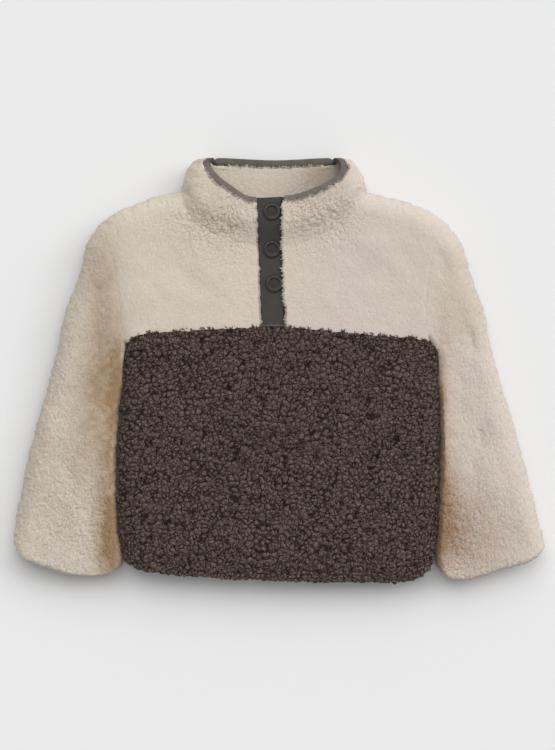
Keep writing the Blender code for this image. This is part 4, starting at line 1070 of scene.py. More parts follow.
def woven(name, colour, thread, turn, rough, specular, mottled):
    """A plain fine weave, its threads laid at an angle, mottled, and darkened by painted shade where
    its curl value is low, as where its edges turn in.
    """
    f = Finish(name, Roughness=rough, Specular_IOR_Level=specular, Sheen_Weight=0.08)
    turned = f.node("ShaderNodeMapping", {"Vector": f.place, "Rotation": (0.0, 0.0, turn)})
    yarn = {"Vector": turned.outputs["Vector"], "Scale": WAVE_LENGTH / thread, "Distortion": 0.6,
            "Detail": 1.0, "Detail Scale": 2.0}
    weft, warp = (f.node("ShaderNodeTexWave", yarn, bands_direction=axis) for axis in ("X", "Y"))
    weave = f.sums("MULTIPLY", weft.outputs["Fac"], warp.outputs["Fac"])
    shade = f.mix(f.between(weave, 0.0, 0.7), scaled(colour, 0.8), scaled(colour, 1.1))
    shade = f.mottle(shade, scaled(colour, 0.62), 0.009, 2.0, 0.38, 0.62, 0.75 * mottled)
    shade = f.mottle(shade, scaled(colour, 1.35), 0.0045, 2.0, 0.48, 0.7, 0.6 * mottled)
    # Painted shade, where the curl value is low.
    edge = f.mix(1.0, shade, EDGE_SHADE, "MULTIPLY")
    shade = f.mix(f.value("curl"), edge, shade)
    return f.done(shade, f.bump(weave, 0.00025, 0.6))


def cap_metal(name, colour, rough, metallic):
    """Lacquered metal of the snap caps, finely pebbled and rubbed in places."""
    f = Finish(name, Metallic=metallic, Specular_IOR_Level=0.35)
    grain = f.noise(0.0006, 2.0)
    rubbed = f.noise(0.003, 4.0)
    shade = f.mix(f.between(rubbed, 0.45, 0.7, 0.0, 0.6), colour, scaled(colour, 1.7))
    gloss = f.between(rubbed, 0.35, 0.7, rough + 0.1, rough - 0.08)
    return f.done(shade, f.bump(grain, 0.0003, 0.5), gloss)


def cloth(kind):
    """The finish of a kind of cloth or metal, made once from the panel's colours."""
    if kind not in MATERIALS:
        s = bpy.context.scene.pullover_colours
        cream, brown = tuple(s.cream), tuple(s.brown)
        makers = {
            "cream": lambda: fleece("cream_sherpa", cream, tuple(s.cream_crevice_shade), CREAM_SHADE_PAINT,
                                    CREAM_BLUSH, [], strand=0.70, grain=0.04, uneven=0.05,
                                    open_at=(0.0, 0.5)),
            "brown": lambda: fleece("brown_sherpa", brown, tuple(s.brown_crevice_shade), None, None,
                                    BROWN_CRACK_SHADE, strand=0.25, grain=0.14, uneven=0.08,
                                    open_at=(0.0, 0.25)),
            "cream_knit": lambda: plain_knit("cream_knit", scaled(cream, 0.85)),
            "brown_knit": lambda: plain_knit("brown_knit", scaled(brown, 1.1)),
            "binding": lambda: woven("taupe_binding", tuple(s.binding), thread=0.00055,
                                     turn=math.radians(45), rough=0.62, specular=0.35, mottled=1.0),
            "placket": lambda: woven("placket_cloth", tuple(s.placket), thread=0.0006,
                                     turn=math.radians(4), rough=0.7, specular=0.3, mottled=0.3),
            "cap": lambda: cap_metal("snap_cap", tuple(s.snap), rough=0.45, metallic=0.2),
            "rim": lambda: cap_metal("snap_rim", tuple(s.rim), rough=0.26, metallic=0.6),
        }
        MATERIALS[kind] = makers[kind]()
    return MATERIALS[kind]


# ---------------------------------------------------------------- the pieces of cloth
# Each piece of cloth: the solid that it stands for, its slot, and the size and the area of its cut, in
# metres
PIECES = {
    "front_block_fleece": ("front_lower", "brown_sherpa", (0.352, 0.246), 0.0800),
    "back_block_fleece": ("back_lower", "brown_sherpa", (0.352, 0.246), 0.0800),
    "front_yoke_left_fleece": ("front_upper_left", "cream_sherpa", (0.160, 0.140), 0.0150),
    "front_yoke_right_fleece": ("front_upper_right", "cream_sherpa", (0.160, 0.140), 0.0150),
    "back_yoke_fleece": ("back_upper", "cream_sherpa", (0.370, 0.150), 0.0400),
    "sleeve_left_fleece": ("sleeve_left", "cream_sherpa", (0.260, 0.300), 0.0600),
    "sleeve_right_fleece": ("sleeve_right", "cream_sherpa", (0.260, 0.300), 0.0600),
    "collar_outer_fleece": ("collar_outer", "cream_sherpa", (0.400, 0.048), 0.0165),
    "collar_inner_fleece": ("collar_inner", "cream_sherpa", (0.380, 0.048), 0.0155),
    "neck_binding": ("collar_binding", "taupe_binding", (0.345, 0.0170), 0.0057),
    "placket_overlap": ("placket_top", "placket_cloth", (0.124, 0.022), 0.0026),
    "placket_underlap": ("placket_under", "placket_cloth", (0.124, 0.023), 0.0027),
}


def place(item, node, slot):
    """Puts a finished piece in the place of its solid."""
    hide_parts(node)
    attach(item, "root")


def dress(item):
    """Puts a piece of cloth in the place of the solid that it stands for."""
    node, slot, flat, area = PIECES[item.name]
    place(item, node, slot)


def edge_locks(shell, grown, form, normal, edges, even, seed):
    """Single locks along those edges of a grid that have them."""
    for k, edge in enumerate(edges):
        if edge.lock:
            inner, end = (np.take(form, j, edge.axis) for j in ((-6, -1) if edge.end else (5, 0)))
            tips = np.take(grown, -2 if edge.end else 1, edge.axis)
            up = np.take(normal, -5 if edge.end else 4, edge.axis)
            shell.locks(tips, (end - inner) * (1.0, 1.0, 0.3), up, edge.lock, seed + k, even)


def fold_locks(shell, grown, axis, at, inward, normal, even, seed):
    """Single locks that stand out from a folded edge, the grid's line number at."""
    up = np.take(normal, at, axis) * 0.3 + (0.0, 0.0, 1.0)
    shell.locks(np.take(grown, at, axis), -inward, up, LOCK, seed, even)


def panel(name, plan_of, lay, u_step, rows, depth, edges, pile, kinds, knit_from=0, hem=None):
    """One flat-cut panel as a shell: fine pile on one face, plain knit on the other.

    plan_of(u, v) gives the plan grid. rows are the fractions v of its rows, and depth is how deep each
    lies under the outer face. Each of edges is an Edge at one side of the grid. knit_from is the row
    where the knit side starts, and hem the row of the hem's fold."""
    sample = rows[np.linspace(knit_from, len(rows) - 1, 7).astype(int)]
    u = even_lines(plan_of(DENSE, sample), lay, u_step)
    plan = plan_of(u, rows)
    base, inward = surface(plan, lay)
    form, still = finish_edges(base, plan, inward, depth, edges)
    normal = facing(normals(form), -inward)
    grown, height = pile.grow(form, normal, lay.face, still)
    shell = Shell()
    outer = shell.grid(grown, curl=height, **shades(form, pile.even))
    if lay.face == "front":
        edge_locks(shell, grown, form, normal, edges, pile.even, pile.seed)
        if hem is not None:
            fold_locks(shell, grown, 1, hem, form[:, hem + 8] - form[:, hem], normal, pile.even, 77)
        else:
            fold_locks(shell, grown, 0, 0, inward[0], normal, pile.even, 78)
    lines, cross = few(len(u), KNIT_STEP / u_step), few(len(rows) - knit_from, 5) + knit_from
    behind = np.ix_(lines, cross)
    inner = shell.grid(base[behind] + CLOTH * inward[behind], turned=True, curl=0.8)
    shell.sew(outer, inner, lines, cross, u)
    return finish_shell(shell, name, kinds, outer)


def finish_shell(shell, name, kinds, outer):
    """Makes the object and gives the pile and the plain side their own materials."""
    item = shell.make(name, [cloth(kind) for kind in kinds])
    if len(kinds) > 1:
        last = outer.max()
        corner = np.zeros(len(item.data.loops), np.int32)
        item.data.loops.foreach_get("vertex_index", corner)
        start = np.zeros(len(item.data.polygons), np.int32)
        item.data.polygons.foreach_get("loop_start", start)
        lowest = np.minimum.reduceat(corner, start)
        item.data.polygons.foreach_set("material_index", (lowest > last).astype(np.int32))
    return item


def seam_across():
    """The block seam from one underarm to the other."""
    return joined([LINES["left"]["seam"], STRIP_SEAM, backwards(LINES["right"]["seam"])],
                  [SEAM_HALF, 1.0 - 2 * SEAM_HALF, SEAM_HALF])


BROWN_PILE = Pile(4.1, 5.6, 2.2, 0.34, (0.8, 0.6, 0.3), (0.0, -0.7, -0.2), True, 11)
CREAM_PILE = Pile(2.9, 4.4, 1.3, 0.36, (0.4, 0.9, 0.2), (0.0, -0.7, -0.2), False, 23)
BLOCK_EDGES = [Edge(1, True, 0.5, 3.0, 1.3, 0.9, 2.2), Edge(0, False, 0.0, 1.0, 0.4, 0.6, 2.0),
               Edge(0, True, 0.0, 1.0, 0.4, 0.6, 2.0)]


def body_block(face):
    """The dark lower block of the front or the back, with its hem turned up inside."""
    step = STEPS["block" if face == "front" else "back"]
    away, depth = turned_rows(BLOCK_LENGTH, step, STEPS["hem"])

    def plan_of(u, v):
        return coons(u, v, HEM_LINE, seam_across(), backwards(LINES["left"]["side"]),
                     backwards(LINES["right"]["side"]))

    start = int(np.flatnonzero((away >= TURN_UP) & (depth < 1.0))[0])
    return panel(face + "_block_fleece", plan_of, BLOCK_LAYS[face], step, away / BLOCK_LENGTH,
                 depth[None, :], BLOCK_EDGES, BROWN_PILE, ["brown", "brown_knit"], knit_from=start,
                 hem=hem_row(away))


def neck_share(u):
    """The neck seam's fraction that belongs to a fraction of the yoke's outer edge."""
    return np.interp(u, [0.0, 0.5, 1.0], [0.0, NECK_SHARE, 1.0])


def back_neck_share(u):
    return np.interp(u, [0.0, BACK_ARM, 1.0 - BACK_ARM, 1.0],
                     [0.0, 0.5 * NECK_SHARE, 1.0 - 0.5 * NECK_SHARE, 1.0])


def front_yoke(side):
    """One cream front yoke, from the shoulder to the block and up to the placket."""
    lines = LINES[side]
    outside = joined([lines["armhole"], lines["seam"]], [0.5, 0.5])

    def plan_of(u, v):
        return coons(u, v, lambda s: lines["neck"](neck_share(s)), outside, lines["shoulder"],
                     lines["placket"])

    sample = plan_of(np.linspace(0, 1, 7), DENSE).transpose(1, 0, 2)
    rows = even_lines(sample, YOKE_FRONT, STEPS["yoke"])
    return panel(f"front_yoke_{side}_fleece", plan_of, YOKE_FRONT, STEPS["yoke"], rows, 0.0,
                 [SEAMED_LOW, SEAMED, LIPS[side]], CREAM_PILE, ["cream", "cream_knit"])


def back_yoke():
    """The cream back yoke, in one piece from armhole to armhole."""
    outside = joined([LINES["left"]["armhole"], seam_across(), backwards(LINES["right"]["armhole"])],
                     [BACK_ARM, 1 - 2 * BACK_ARM, BACK_ARM])

    def plan_of(u, v):
        return coons(u, v, lambda s: BACK_NECK_LINE(back_neck_share(s)), outside,
                     LINES["left"]["shoulder"], LINES["right"]["shoulder"])

    rows = np.linspace(0.0, 1.0, int(YOKE_LENGTH / STEPS["back"]))
    return panel("back_yoke_fleece", plan_of, YOKE_BACK, STEPS["back"], rows, 0.0,
                 [SEAMED_LOW, SEAMED], CREAM_PILE, ["cream", "cream_knit"])


def under_body(points):
    """Keeps the sleeve's pile beneath the body's where its edge runs in under the body's side."""
    beyond, below = (part.reshape(points.shape[:2]) for part in beyond_side(points.reshape(-1, 3)))
    ceiling = CEILING - CEILING_DROP * smooth_step(below / CEILING_RUN)
    share = smooth_step((-beyond - CEILING_IN) / CEILING_SLOPE) * (below > 0.0)
    kept = points.copy()
    kept[..., 2] -= share * np.maximum(points[..., 2] - ceiling, 0.0)
    return kept


def sleeve(side):
    """One sleeve as a tube: front, fold under the arm, back, outer fold, its cuff turned up inside."""
    lines = LINES[side]
    folds = folds_of("sleeve", [side])
    step = STEPS["sleeve"]
    away, depth = (rows[::-1] for rows in turned_rows(SLEEVE_LENGTH, step, STEPS["cuff"]))
    rows = 1.0 - away / SLEEVE_LENGTH

    def plan_of(u, v):
        return coons(u, v, lines["armhole"], lines["cuff"], lines["outer"], lines["tucked"])

    over, below = Lay("front", sleeve_level, folds), Lay("back", flat_level, folds)
    sample = plan_of(DENSE, np.linspace(0.02, 0.98, 7))
    front = even_lines(sample, over, step)
    back = even_lines(sample, below, STEPS["under"])[-2:0:-1]
    top, top_in = surface(plan_of(front, rows), over)
    under, under_in = surface(plan_of(back, rows), below)
    base, inward = np.concatenate([top, under]), np.concatenate([top_in, under_in])
    form, still = finish_edges(base, base[..., :2], inward, depth[None, :], [SEAMED_LOW])
    normal = facing(normals(form, around=True), -inward)
    pile = CREAM_PILE._replace(nap=(-0.2 if side == "left" else 0.2, -0.7, -0.1))
    fine = len(front)
    grown, height = pile.grow(form, normal, "front", still)
    grown[fine:] = pile.grow(form[fine:], normal[fine:], "back", still[fine:])[0]
    grown[:fine] = under_body(grown[:fine])
    shell = Shell()
    outer = shell.grid(grown, around=True, curl=height, **shades(form))
    fold_locks(shell, grown, 0, 0, inward[0], normal, False, 79)
    cuff = int(np.argmin(away)) - 3
    fold_locks(shell, grown[:fine], 1, cuff, (form[:, cuff - 8] - form[:, cuff])[:fine], normal[:fine],
               False, 80)
    u = np.concatenate([front, back])
    stop = int(np.flatnonzero((away >= TURN_UP) & (depth < 1.0))[-1])
    picked = np.unique(np.concatenate([few(fine, 5), fine - 1 + few(len(back) + 1, 2)]))
    picked = picked[picked < len(u)]
    behind = np.ix_(picked, few(stop + 1, 6))
    across, down = ((at - start) / run for at, (start, run) in ((u, PRESSED_IN), (rows, PRESSED_DOWN)))
    squeezed = smooth_step(across)[:, None] * smooth_step(down)[None, :]
    thick = CLOTH + (PRESSED - CLOTH) * squeezed
    knit = base[behind] + thick[behind][..., None] * inward[behind]
    inner = shell.grid(knit, turned=True, around=True, curl=0.8)
    ring = np.arange(len(u) + 1, dtype=float)
    at = np.append(ring[picked], ring[-1])
    for end, turned in ((0, False), (-1, True)):
        shell.zip(np.append(outer[:, end], outer[0, end]), np.append(inner[:, end], inner[0, end]),
                  ring, at, turned=turned)
    return finish_shell(shell, f"sleeve_{side}_fleece", ["cream", "cream_knit"], outer)


# ---------------------------------------------------------------- the collar
def collar_lines(step, back_step):
    """Fractions along the neck for the collar's front, placket to neck point, and for its back."""
    left, right = LINES["left"], LINES["right"]
    high = np.array([0.3, 0.6, 0.9])
    plan = coons(DENSE, high, left["neck"], left["edge"], left["collar"], left["placket_collar"])
    front = even_lines(plan, YOKE_FRONT, step)[::-1]
    plan = coons(DENSE, high, BACK_NECK_LINE, BACK_EDGE_LINE, left["collar"], right["collar"])
    back = even_lines(plan, COLLAR_BACK, back_step)
    return front, back


def collar_columns(lines, from_neck):
    """Outer points and inward directions at heights up the collar, one row of heights a column.

    from_neck turns each column's length into the lengths wanted on it."""
    parts = []
    left, right = LINES["left"], LINES["right"]
    front, back = lines
    jobs = [
        ("front", front, left["neck"], left["edge"], left["collar"], left["placket_collar"]),
        ("back", back[1:-1], BACK_NECK_LINE, BACK_EDGE_LINE, left["collar"], right["collar"]),
        ("front", front[::-1], right["neck"], right["edge"], right["collar"], right["placket_collar"]),
    ]
    for face, u, low, high, first, last in jobs:
        plan = coons(u, np.linspace(0.0, 1.0, 41), low, high, first, last)
        along = np.array([run_along(column) for column in plan])
        wanted = np.array([from_neck(length) for length in along[:, -1]])
        left_in = along[:, -1:] - wanted
        way = plan[:, -1] - plan[:, -3]
        way /= np.linalg.norm(way, axis=1)[:, None]
        grid = np.maximum(-left_in, 0.0)[..., None] * way[:, None]
        for k, c in product(range(len(u)), (0, 1)):
            grid[k, :, c] += np.interp(wanted[k], along[k], plan[k, :, c])
        if face == "back":
            parts.append(surface(squared(grid, plan[:, -1], left_in), COLLAR_BACK))
        else:
            rise = COLLAR_RISE * smooth_step(wanted / COLLAR_RUN)
            parts.append(surface(grid, YOKE_FRONT, rise))
    return [np.concatenate([part[k] for part in parts]) for k in (0, 1)]


def squared(grid, edge, left_in):
    """Turns the columns of the collar's back square to its top edge, but for the tips themselves.

    left_in is how far each point still is from the edge."""
    run = run_along(edge)
    from_tip = np.minimum(run, run[-1] - run) + TIP_START
    way = np.gradient(edge, axis=0)
    way /= np.linalg.norm(way, axis=1)[:, None]
    down = np.stack([way[:, 1], -way[:, 0]], axis=1)
    share = smooth_step(from_tip / TIP_RUN)[:, None] * smooth_step((SQUARE_IN - left_in) / SQUARE_RUN)
    square = edge[:, None] + left_in[..., None] * down[:, None]
    return grid + share[..., None] * (square - grid)


def collar_layer(name, inner_layer):
    """One layer of the stand collar. The outer one has its pile outside and the inner one inside."""
    step = STEPS["collar"]
    lines = collar_lines(step * (2.0 if inner_layer else 1.0), step * (1.0 if inner_layer else 2.0))
    count = int(COLLAR_HEIGHT / step)
    share = np.linspace(0.0, 1.0, count)
    base, inward = collar_columns(lines, lambda length: share * (length - RIM_DROP))
    to_edge = reach_in(base, 1, True) + RIM_DROP
    uneven = unevenness(base, (1.0, 3.6, 64), (0.5, 1.9, 65))
    shows = BINDING_SHOWS + BINDING_MORE[inner_layer]
    from_tip = np.minimum(*(np.linalg.norm(base[:, -1, :2] - tip, axis=1)
                            for tip in COLLAR_TIP.values()))
    held = smooth_step((shows + 1.2 + 0.8 * uneven - to_edge) / 1.6)
    knit_depth, rim_knit = COLLAR_LAYER, RIM_SQUEEZE + RIM_CLOTH
    if inner_layer:
        knit_depth, rim_knit = knit_depth + GAP, rim_knit + GAP
        pile_depth, rim_pile = knit_depth + COLLAR_LAYER, rim_knit + RIM_CLOTH
    else:
        pile_depth, rim_pile = 0.0, RIM_SQUEEZE
    deep = pile_depth + (rim_pile - pile_depth) * held
    if not inner_layer:
        deep = deep + pillow(reach_in(base, 1, False), SEAMED.dip, SEAMED.reach) * (1 - held)
        for end in (False, True):
            away = reach_in(base, 0, end)
            deep = deep + pillow(away, LIPS["left"].dip, LIPS["left"].reach) * (1 - held)
    form = base + deep[..., None] * inward
    lips = [LIPS["left"]._replace(end=False), LIPS["right"]]
    if not inner_layer:
        for edge in (SEAMED_LOW, *lips):
            spread(form, base, edge, 1 - held)
    normal = facing(normals(form), inward if inner_layer else -inward)
    grown, height = CREAM_PILE.grow(form, normal, "front", still=held)
    grown = np.where(held[..., None] > 0.98, form, grown)
    shell = Shell()
    outer = shell.grid(grown, curl=np.maximum(height, 0.5 * held), **shades(form))
    last = np.clip((held < 0.35).sum(axis=1) - 1, 4, count - 4)
    open_part = from_tip > LOCKS_FROM_TIP[inner_layer]
    for run in np.split(np.arange(len(base)), np.flatnonzero(np.diff(open_part)) + 1):
        if open_part[run[0]]:
            at = last[run]
            shell.locks(grown[run, at], base[run, at + 3] - base[run, at - 3], normal[run, at - 3],
                        COLLAR_LOCK, 81 + inner_layer)
    if not inner_layer:
        edge_locks(shell, grown[:, :-9], form[:, :-9], normal[:, :-9], lips, False, 83)
    cols, cross = few(len(base), 5), few(count, 5)
    thick = knit_depth + (rim_knit - knit_depth) * smooth_step((BINDING_DEEP + 4.0 - to_edge) / 4.0)
    inner = shell.grid((base + thick[..., None] * inward)[np.ix_(cols, cross)], turned=True, curl=0.8)
    shell.sew(outer, inner, cols, cross)
    return finish_shell(shell, name, ["cream", "cream_knit"], outer)


def binding():
    """Folded bias tape over both layers' top edges: rounded on top, its two edges turned under."""
    lines = collar_lines(STEPS["tape"], STEPS["tape_back"])
    inside = RIM_SQUEEZE - 1.5 * GAP
    outside = RIM_SQUEEZE + 2 * RIM_CLOTH + 2.5 * GAP
    middle, half = (inside + outside) / 2, (outside - inside) / 2 + BINDING_CLOTH
    turn = np.linspace(0.0, math.pi, 11)[1:-1]
    foot = -BINDING_DEEP - 0.1
    side = np.array([foot, -BINDING_DEEP + 0.5, -BINDING_DEEP + 1.6, -4.4, -3.4, -2.4])
    swell = np.array([-0.55, 0.25, BINDING_BULGE, BINDING_BULGE + 0.15, BINDING_BULGE, 0.25])
    crown = np.column_stack([middle - (half + 0.1) * np.cos(turn),
                             -1.9 + (RIM_CROWN + 1.9) * np.sin(turn) ** 0.8])
    first = np.column_stack([middle - half - swell, side])
    last = np.column_stack([middle + half + swell, side])[::-1]
    lining = [(outside, foot), (outside, GAP - RIM_DROP), (inside, GAP - RIM_DROP), (inside, foot)]
    profile = np.vstack([first, crown, last, lining])
    depth, height = profile.T
    outer, inward = collar_columns(lines, lambda length: length + height)
    run = run_along(outer[:, 8])
    pucker = 0.10 * np.sin(run * 2.1) + 0.10 * np.sin(run * 0.83 + 1.0)
    way = np.sign(depth - middle)
    way[-len(lining):] = 0.0
    ring = outer + (depth[None, :] + pucker[:, None] * way[None, :])[..., None] * inward
    shell = Shell()
    # Painted shade on the tape: darker at its lower edges, along its top and where it lies lower down.
    shown = smooth_step((height + BINDING_SHOWS + 2.4) / 1.8) * smooth_step(1.0 - height / 1.2)
    shown = np.append(shown, 0.0)
    lit = 1.0 - 0.5 * smooth_step((20.0 - outer[:, 8, 2]) / 12.0)
    index = shell.grid(np.concatenate([ring, ring[:, :1]], axis=1),
                       curl=lit[:, None] * (0.3 + 0.7 * shown[None, :]))
    for end, turned in ((0, True), (-1, False)):
        face = index[end, :-1].tolist()
        shell.faces.append(face[::-1] if turned else face)
    item = shell.make("neck_binding", [cloth("binding")])
    weld(item)
    return item


def weld(item):
    """Merges a closed ring's first and last points."""
    bpy.ops.object.select_all(action="DESELECT")
    item.select_set(True)
    bpy.context.view_layer.objects.active = item
    bpy.ops.object.mode_set(mode="EDIT")
    bpy.ops.mesh.select_all(action="SELECT")
    bpy.ops.mesh.remove_doubles(threshold=1e-6)
    bpy.ops.mesh.quads_convert_to_tris()
    bpy.ops.mesh.normals_make_consistent(inside=False)
    bpy.ops.object.mode_set(mode="OBJECT")


# ---------------------------------------------------------------- the placket
def placket_line(side):
    """One edge of the placket's slot, from the collar's top edge down to the block seam."""
    return joined([backwards(LINES[side]["placket_collar"]), LINES[side]["placket"]],
                  [COLLAR_SHARE, 1.0 - COLLAR_SHARE])


def placket_rise(y):
    return COLLAR_RISE * smooth_step((y - PLACKET_NECK["left"][1]) / COLLAR_RUN)


def strip_form(u, v, left_inset, right_inset):
    """Form points of the placket across (u) and down (v), with the directions into the cloth."""
    left, right = (placket_line(side)(v) for side in ("left", "right"))
    across = (right - left) / np.linalg.norm(right - left, axis=1)[:, None]
    begin, end = left + left_inset * across, right - right_inset * across
    plan = begin[None] + (end - begin)[None] * u[:, None, None]
    return surface(plan, YOKE_FRONT, placket_rise(plan[..., 1]))


def placket_strip(name, left_inset, right_inset, depth):
    """One strip of the placket: woven cloth round a thin interlining, stitched along its edges."""
    u = 0.5 - 0.5 * np.cos(np.linspace(0, np.pi, 27))
    v = np.linspace(0.0035, 1.0, int(STRIP_LENGTH / STEPS["strip"]))
    base, inward = strip_form(u, v, left_inset, right_inset)
    side = np.minimum(reach_in(base, 0, False), reach_in(base, 0, True))
    along = reach_in(base, 1, False)
    deep = pillow(side, 0.9, 1.2) + pillow(along, 0.7, 1.0)
    stitched = np.exp(-((side - STITCH_IN) / 0.5) ** 2)
    deep += 0.22 * stitched * (0.75 + 0.25 * np.cos(along * 2 * math.pi / STITCH_LONG))
    deep += unevenness(base, (0.22, 9.0, 70), (0.3, 20.0, 71))
    # Painted shade: darker near the strip's edges, with a painted shadow ring round each snap.
    unshaded = smooth_step((side + 0.4 + unevenness(base, (0.5, 5.0, 72))) / 2.2)
    for node in CAP_TURNS:
        foot = np.array(snap_place(node)[0])[:2] / MM + CENTRE
        away = np.linalg.norm(base[..., :2] - foot, axis=2)
        unshaded = unshaded * (1.0 - 0.85 * np.exp(-((away - SNAP_MARK) / 1.0) ** 2))
    cols, cross = few(len(u), 4), few(len(v), 6)
    shell = Shell()
    outer = shell.grid(base + (depth + deep)[..., None] * inward, curl=0.25 + 0.75 * unshaded)
    behind = (base + (depth + STRIP_THICK) * inward)[np.ix_(cols, cross)]
    inner = shell.grid(behind, turned=True, curl=1.0)
    shell.sew(outer, inner, cols, cross)
    return shell.make(name, [cloth("placket")])


# ---------------------------------------------------------------- the snaps, in metres
CAP_CROWN = 0.00012    # how far the middle of the rim is raised
CAP_BEVEL = 0.00045    # rounding of the rim's two edges
CAP_LIP = 0.0003       # the rim's finish goes this far into the dish
CAP_TURNS = {"snap_1": 0.3, "snap_2": 1.7, "snap_3": 2.6}


def select_faces(item, chosen):
    """In edit mode, selects the faces whose centre and normal pass a test."""
    bpy.ops.object.mode_set(mode="OBJECT")
    for polygon in item.data.polygons:
        polygon.select = bool(chosen(polygon.center, polygon.normal))
    for edge in item.data.edges:
        edge.select = False
    for vertex in item.data.vertices:
        vertex.select = False
    for polygon in item.data.polygons:
        if polygon.select:
            for k in polygon.vertices:
                item.data.vertices[k].select = True
    bpy.ops.object.mode_set(mode="EDIT")


def snap_cap(size):
    """The cap of a snap at the origin: a turned disc with a rolled rim and a dished centre."""
    r, tall, rim, dish = size.diameter / 2, size.height, size.rim, size.dish
    bpy.ops.object.select_all(action="DESELECT")
    bpy.ops.mesh.primitive_cylinder_add(vertices=40, radius=r, depth=tall, location=(0, 0, tall / 2))
    item = bpy.context.active_object
    item.name = "snap_cap"
    bpy.ops.object.mode_set(mode="EDIT")
    bpy.ops.mesh.select_mode(type="FACE")
    select_faces(item, lambda c, n: n.z > 0.9)
    for thickness, depth in ((rim * 0.5, 0.0), (rim * 0.5, 0.0), (0.0003, -dish * 0.8),
                             (0.0004, -dish * 0.2), (r * 0.3, dish * 0.12), (r * 0.22, dish * 0.08)):
        bpy.ops.mesh.inset(thickness=thickness, depth=depth)
    bpy.ops.mesh.select_all(action="DESELECT")
    bpy.ops.object.mode_set(mode="OBJECT")
    for vertex in item.data.vertices:
        edge_on = abs(math.hypot(vertex.co.x, vertex.co.y) - (r - rim * 0.5)) < 1e-5
        if edge_on and vertex.co.z > tall * 0.9:
            vertex.co.z += CAP_CROWN
    bpy.ops.object.mode_set(mode="EDIT")
    bpy.ops.mesh.select_mode(type="EDGE")
    bpy.ops.mesh.select_all(action="DESELECT")
    bpy.ops.object.mode_set(mode="OBJECT")
    for edge in item.data.edges:
        a, b = (item.data.vertices[k].co for k in edge.vertices)
        level = abs(a.z - b.z) < 1e-6
        outermost = min(math.hypot(a.x, a.y), math.hypot(b.x, b.y)) > r - 1e-5
        inner_lip = abs(math.hypot(a.x, a.y) - (r - rim)) < 2e-5 and a.z > tall * 0.9
        edge.select = level and (outermost or inner_lip)
    bpy.ops.object.mode_set(mode="EDIT")
    bpy.ops.mesh.bevel(offset=CAP_BEVEL, segments=3, affect="EDGES", clamp_overlap=True)
    bpy.ops.mesh.select_all(action="SELECT")
    bpy.ops.mesh.normals_make_consistent(inside=False)
    bpy.ops.object.mode_set(mode="OBJECT")
    bpy.ops.object.shade_smooth_by_angle(angle=math.radians(40))
    return item


def snap_place(node):
    """Centre of a snap's foot and the way that it faces, read from its solid in the frame."""
    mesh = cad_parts[node].data
    points = np.array([v.co for v in mesh.vertices], float)
    centre = points.mean(axis=0)
    axis = np.linalg.svd(points - centre, full_matrices=False)[2][2]
    axis *= math.copysign(1.0, axis[2])
    foot = ((points - centre) @ axis).min()
    return Vector(centre + foot * axis), Vector(axis)


# ---------------------------------------------------------------- properties
class PulloverColours(PropertyGroup):
    """Colours of the cloths and the snaps."""

    cream: FloatVectorProperty(name="Cream", description="Crowns of the cream pile", subtype="COLOR",
                               default=(0.612, 0.552, 0.459), min=0.0, max=1.0)
    # Painted shade between the cream curls.
    cream_crevice_shade: FloatVectorProperty(name="Cream crevice", description="Between the cream curls",
                                       subtype="COLOR", default=(0.36, 0.27, 0.20), min=0.0, max=1.0)
    brown: FloatVectorProperty(name="Brown", description="Crowns of the brown pile", subtype="COLOR",
                               default=(0.160, 0.117, 0.099), min=0.0, max=1.0)
    # Painted shade between the brown curls.
    brown_crevice_shade: FloatVectorProperty(name="Brown crevice", description="Between the brown curls",
                                       subtype="COLOR", default=(0.013, 0.006, 0.005), min=0.0,
                                       max=1.0)
    binding: FloatVectorProperty(name="Binding", description="Bias tape round the neck",
                                 subtype="COLOR", default=(0.165, 0.135, 0.115), min=0.0, max=1.0)
    placket: FloatVectorProperty(name="Placket", description="Woven cloth of the placket",
                                 subtype="COLOR", default=(0.050, 0.045, 0.040), min=0.0, max=1.0)
    snap: FloatVectorProperty(name="Snaps", description="Lacquered metal of the snap caps",
                              subtype="COLOR", default=(0.018, 0.014, 0.012), min=0.0, max=1.0)
    # Painted highlight in part: the rims' metal is lighter and glossier than the caps'.
    rim: FloatVectorProperty(name="Snap rims", description="Rubbed lacquer of the caps' rims",
                             subtype="COLOR", default=(0.052, 0.048, 0.044), min=0.0, max=1.0)


class PulloverSnaps(PropertyGroup):
    """Sizes of the snap caps."""

    diameter: FloatProperty(name="Diameter", description="Across the cap", default=0.015,
                            unit="LENGTH")
    height: FloatProperty(name="Height", description="Foot to rim", default=0.0028, unit="LENGTH")
    rim: FloatProperty(name="Rim", description="Width of the raised rim", default=0.0013,
                       unit="LENGTH")
    dish: FloatProperty(name="Dish", description="Depth of the dished centre", default=0.0009,
                        unit="LENGTH")


class PulloverStage(PropertyGroup):
    """Floor, light and camera."""

    floor: FloatVectorProperty(name="Floor", description="Colour of the floor", subtype="COLOR",
                               default=(0.80, 0.80, 0.80), min=0.0, max=1.0)
    key: FloatProperty(name="Key light", description="Strength of the large soft light above",
                       default=1.93)
    side: FloatProperty(name="Side light", description="Strength of the low light from the right",
                        default=1.05)
    glint: FloatProperty(name="Glint", description="Strength of the light that only makes highlights",
                         default=1.6)
    fill: FloatProperty(name="Fill", description="Light from all round", default=0.40)
    distance: FloatProperty(name="Camera height", description="From the pile up to the lens",
                            default=3.0, unit="LENGTH")
    view_height: FloatProperty(name="View", description="Length that the picture's height takes in",
                               default=0.72, unit="LENGTH")


# The lights that are far off: how wide each looks, in radians, and where it comes from
LAMPS = {"key": (1.2, (0.16, 0.76, 1.0)), "side": (0.58, (0.92, 0.40, 0.49)),
         "glint": (0.35, (-0.62, 0.55, 0.85))}
CAMERA_OVER = (-0.0018, -0.0048)       # the point that the camera looks straight down on
PILE_TOP = 0.018                       # the camera's height counts from here
FILM = 36.0                            # width of the camera's film, mm


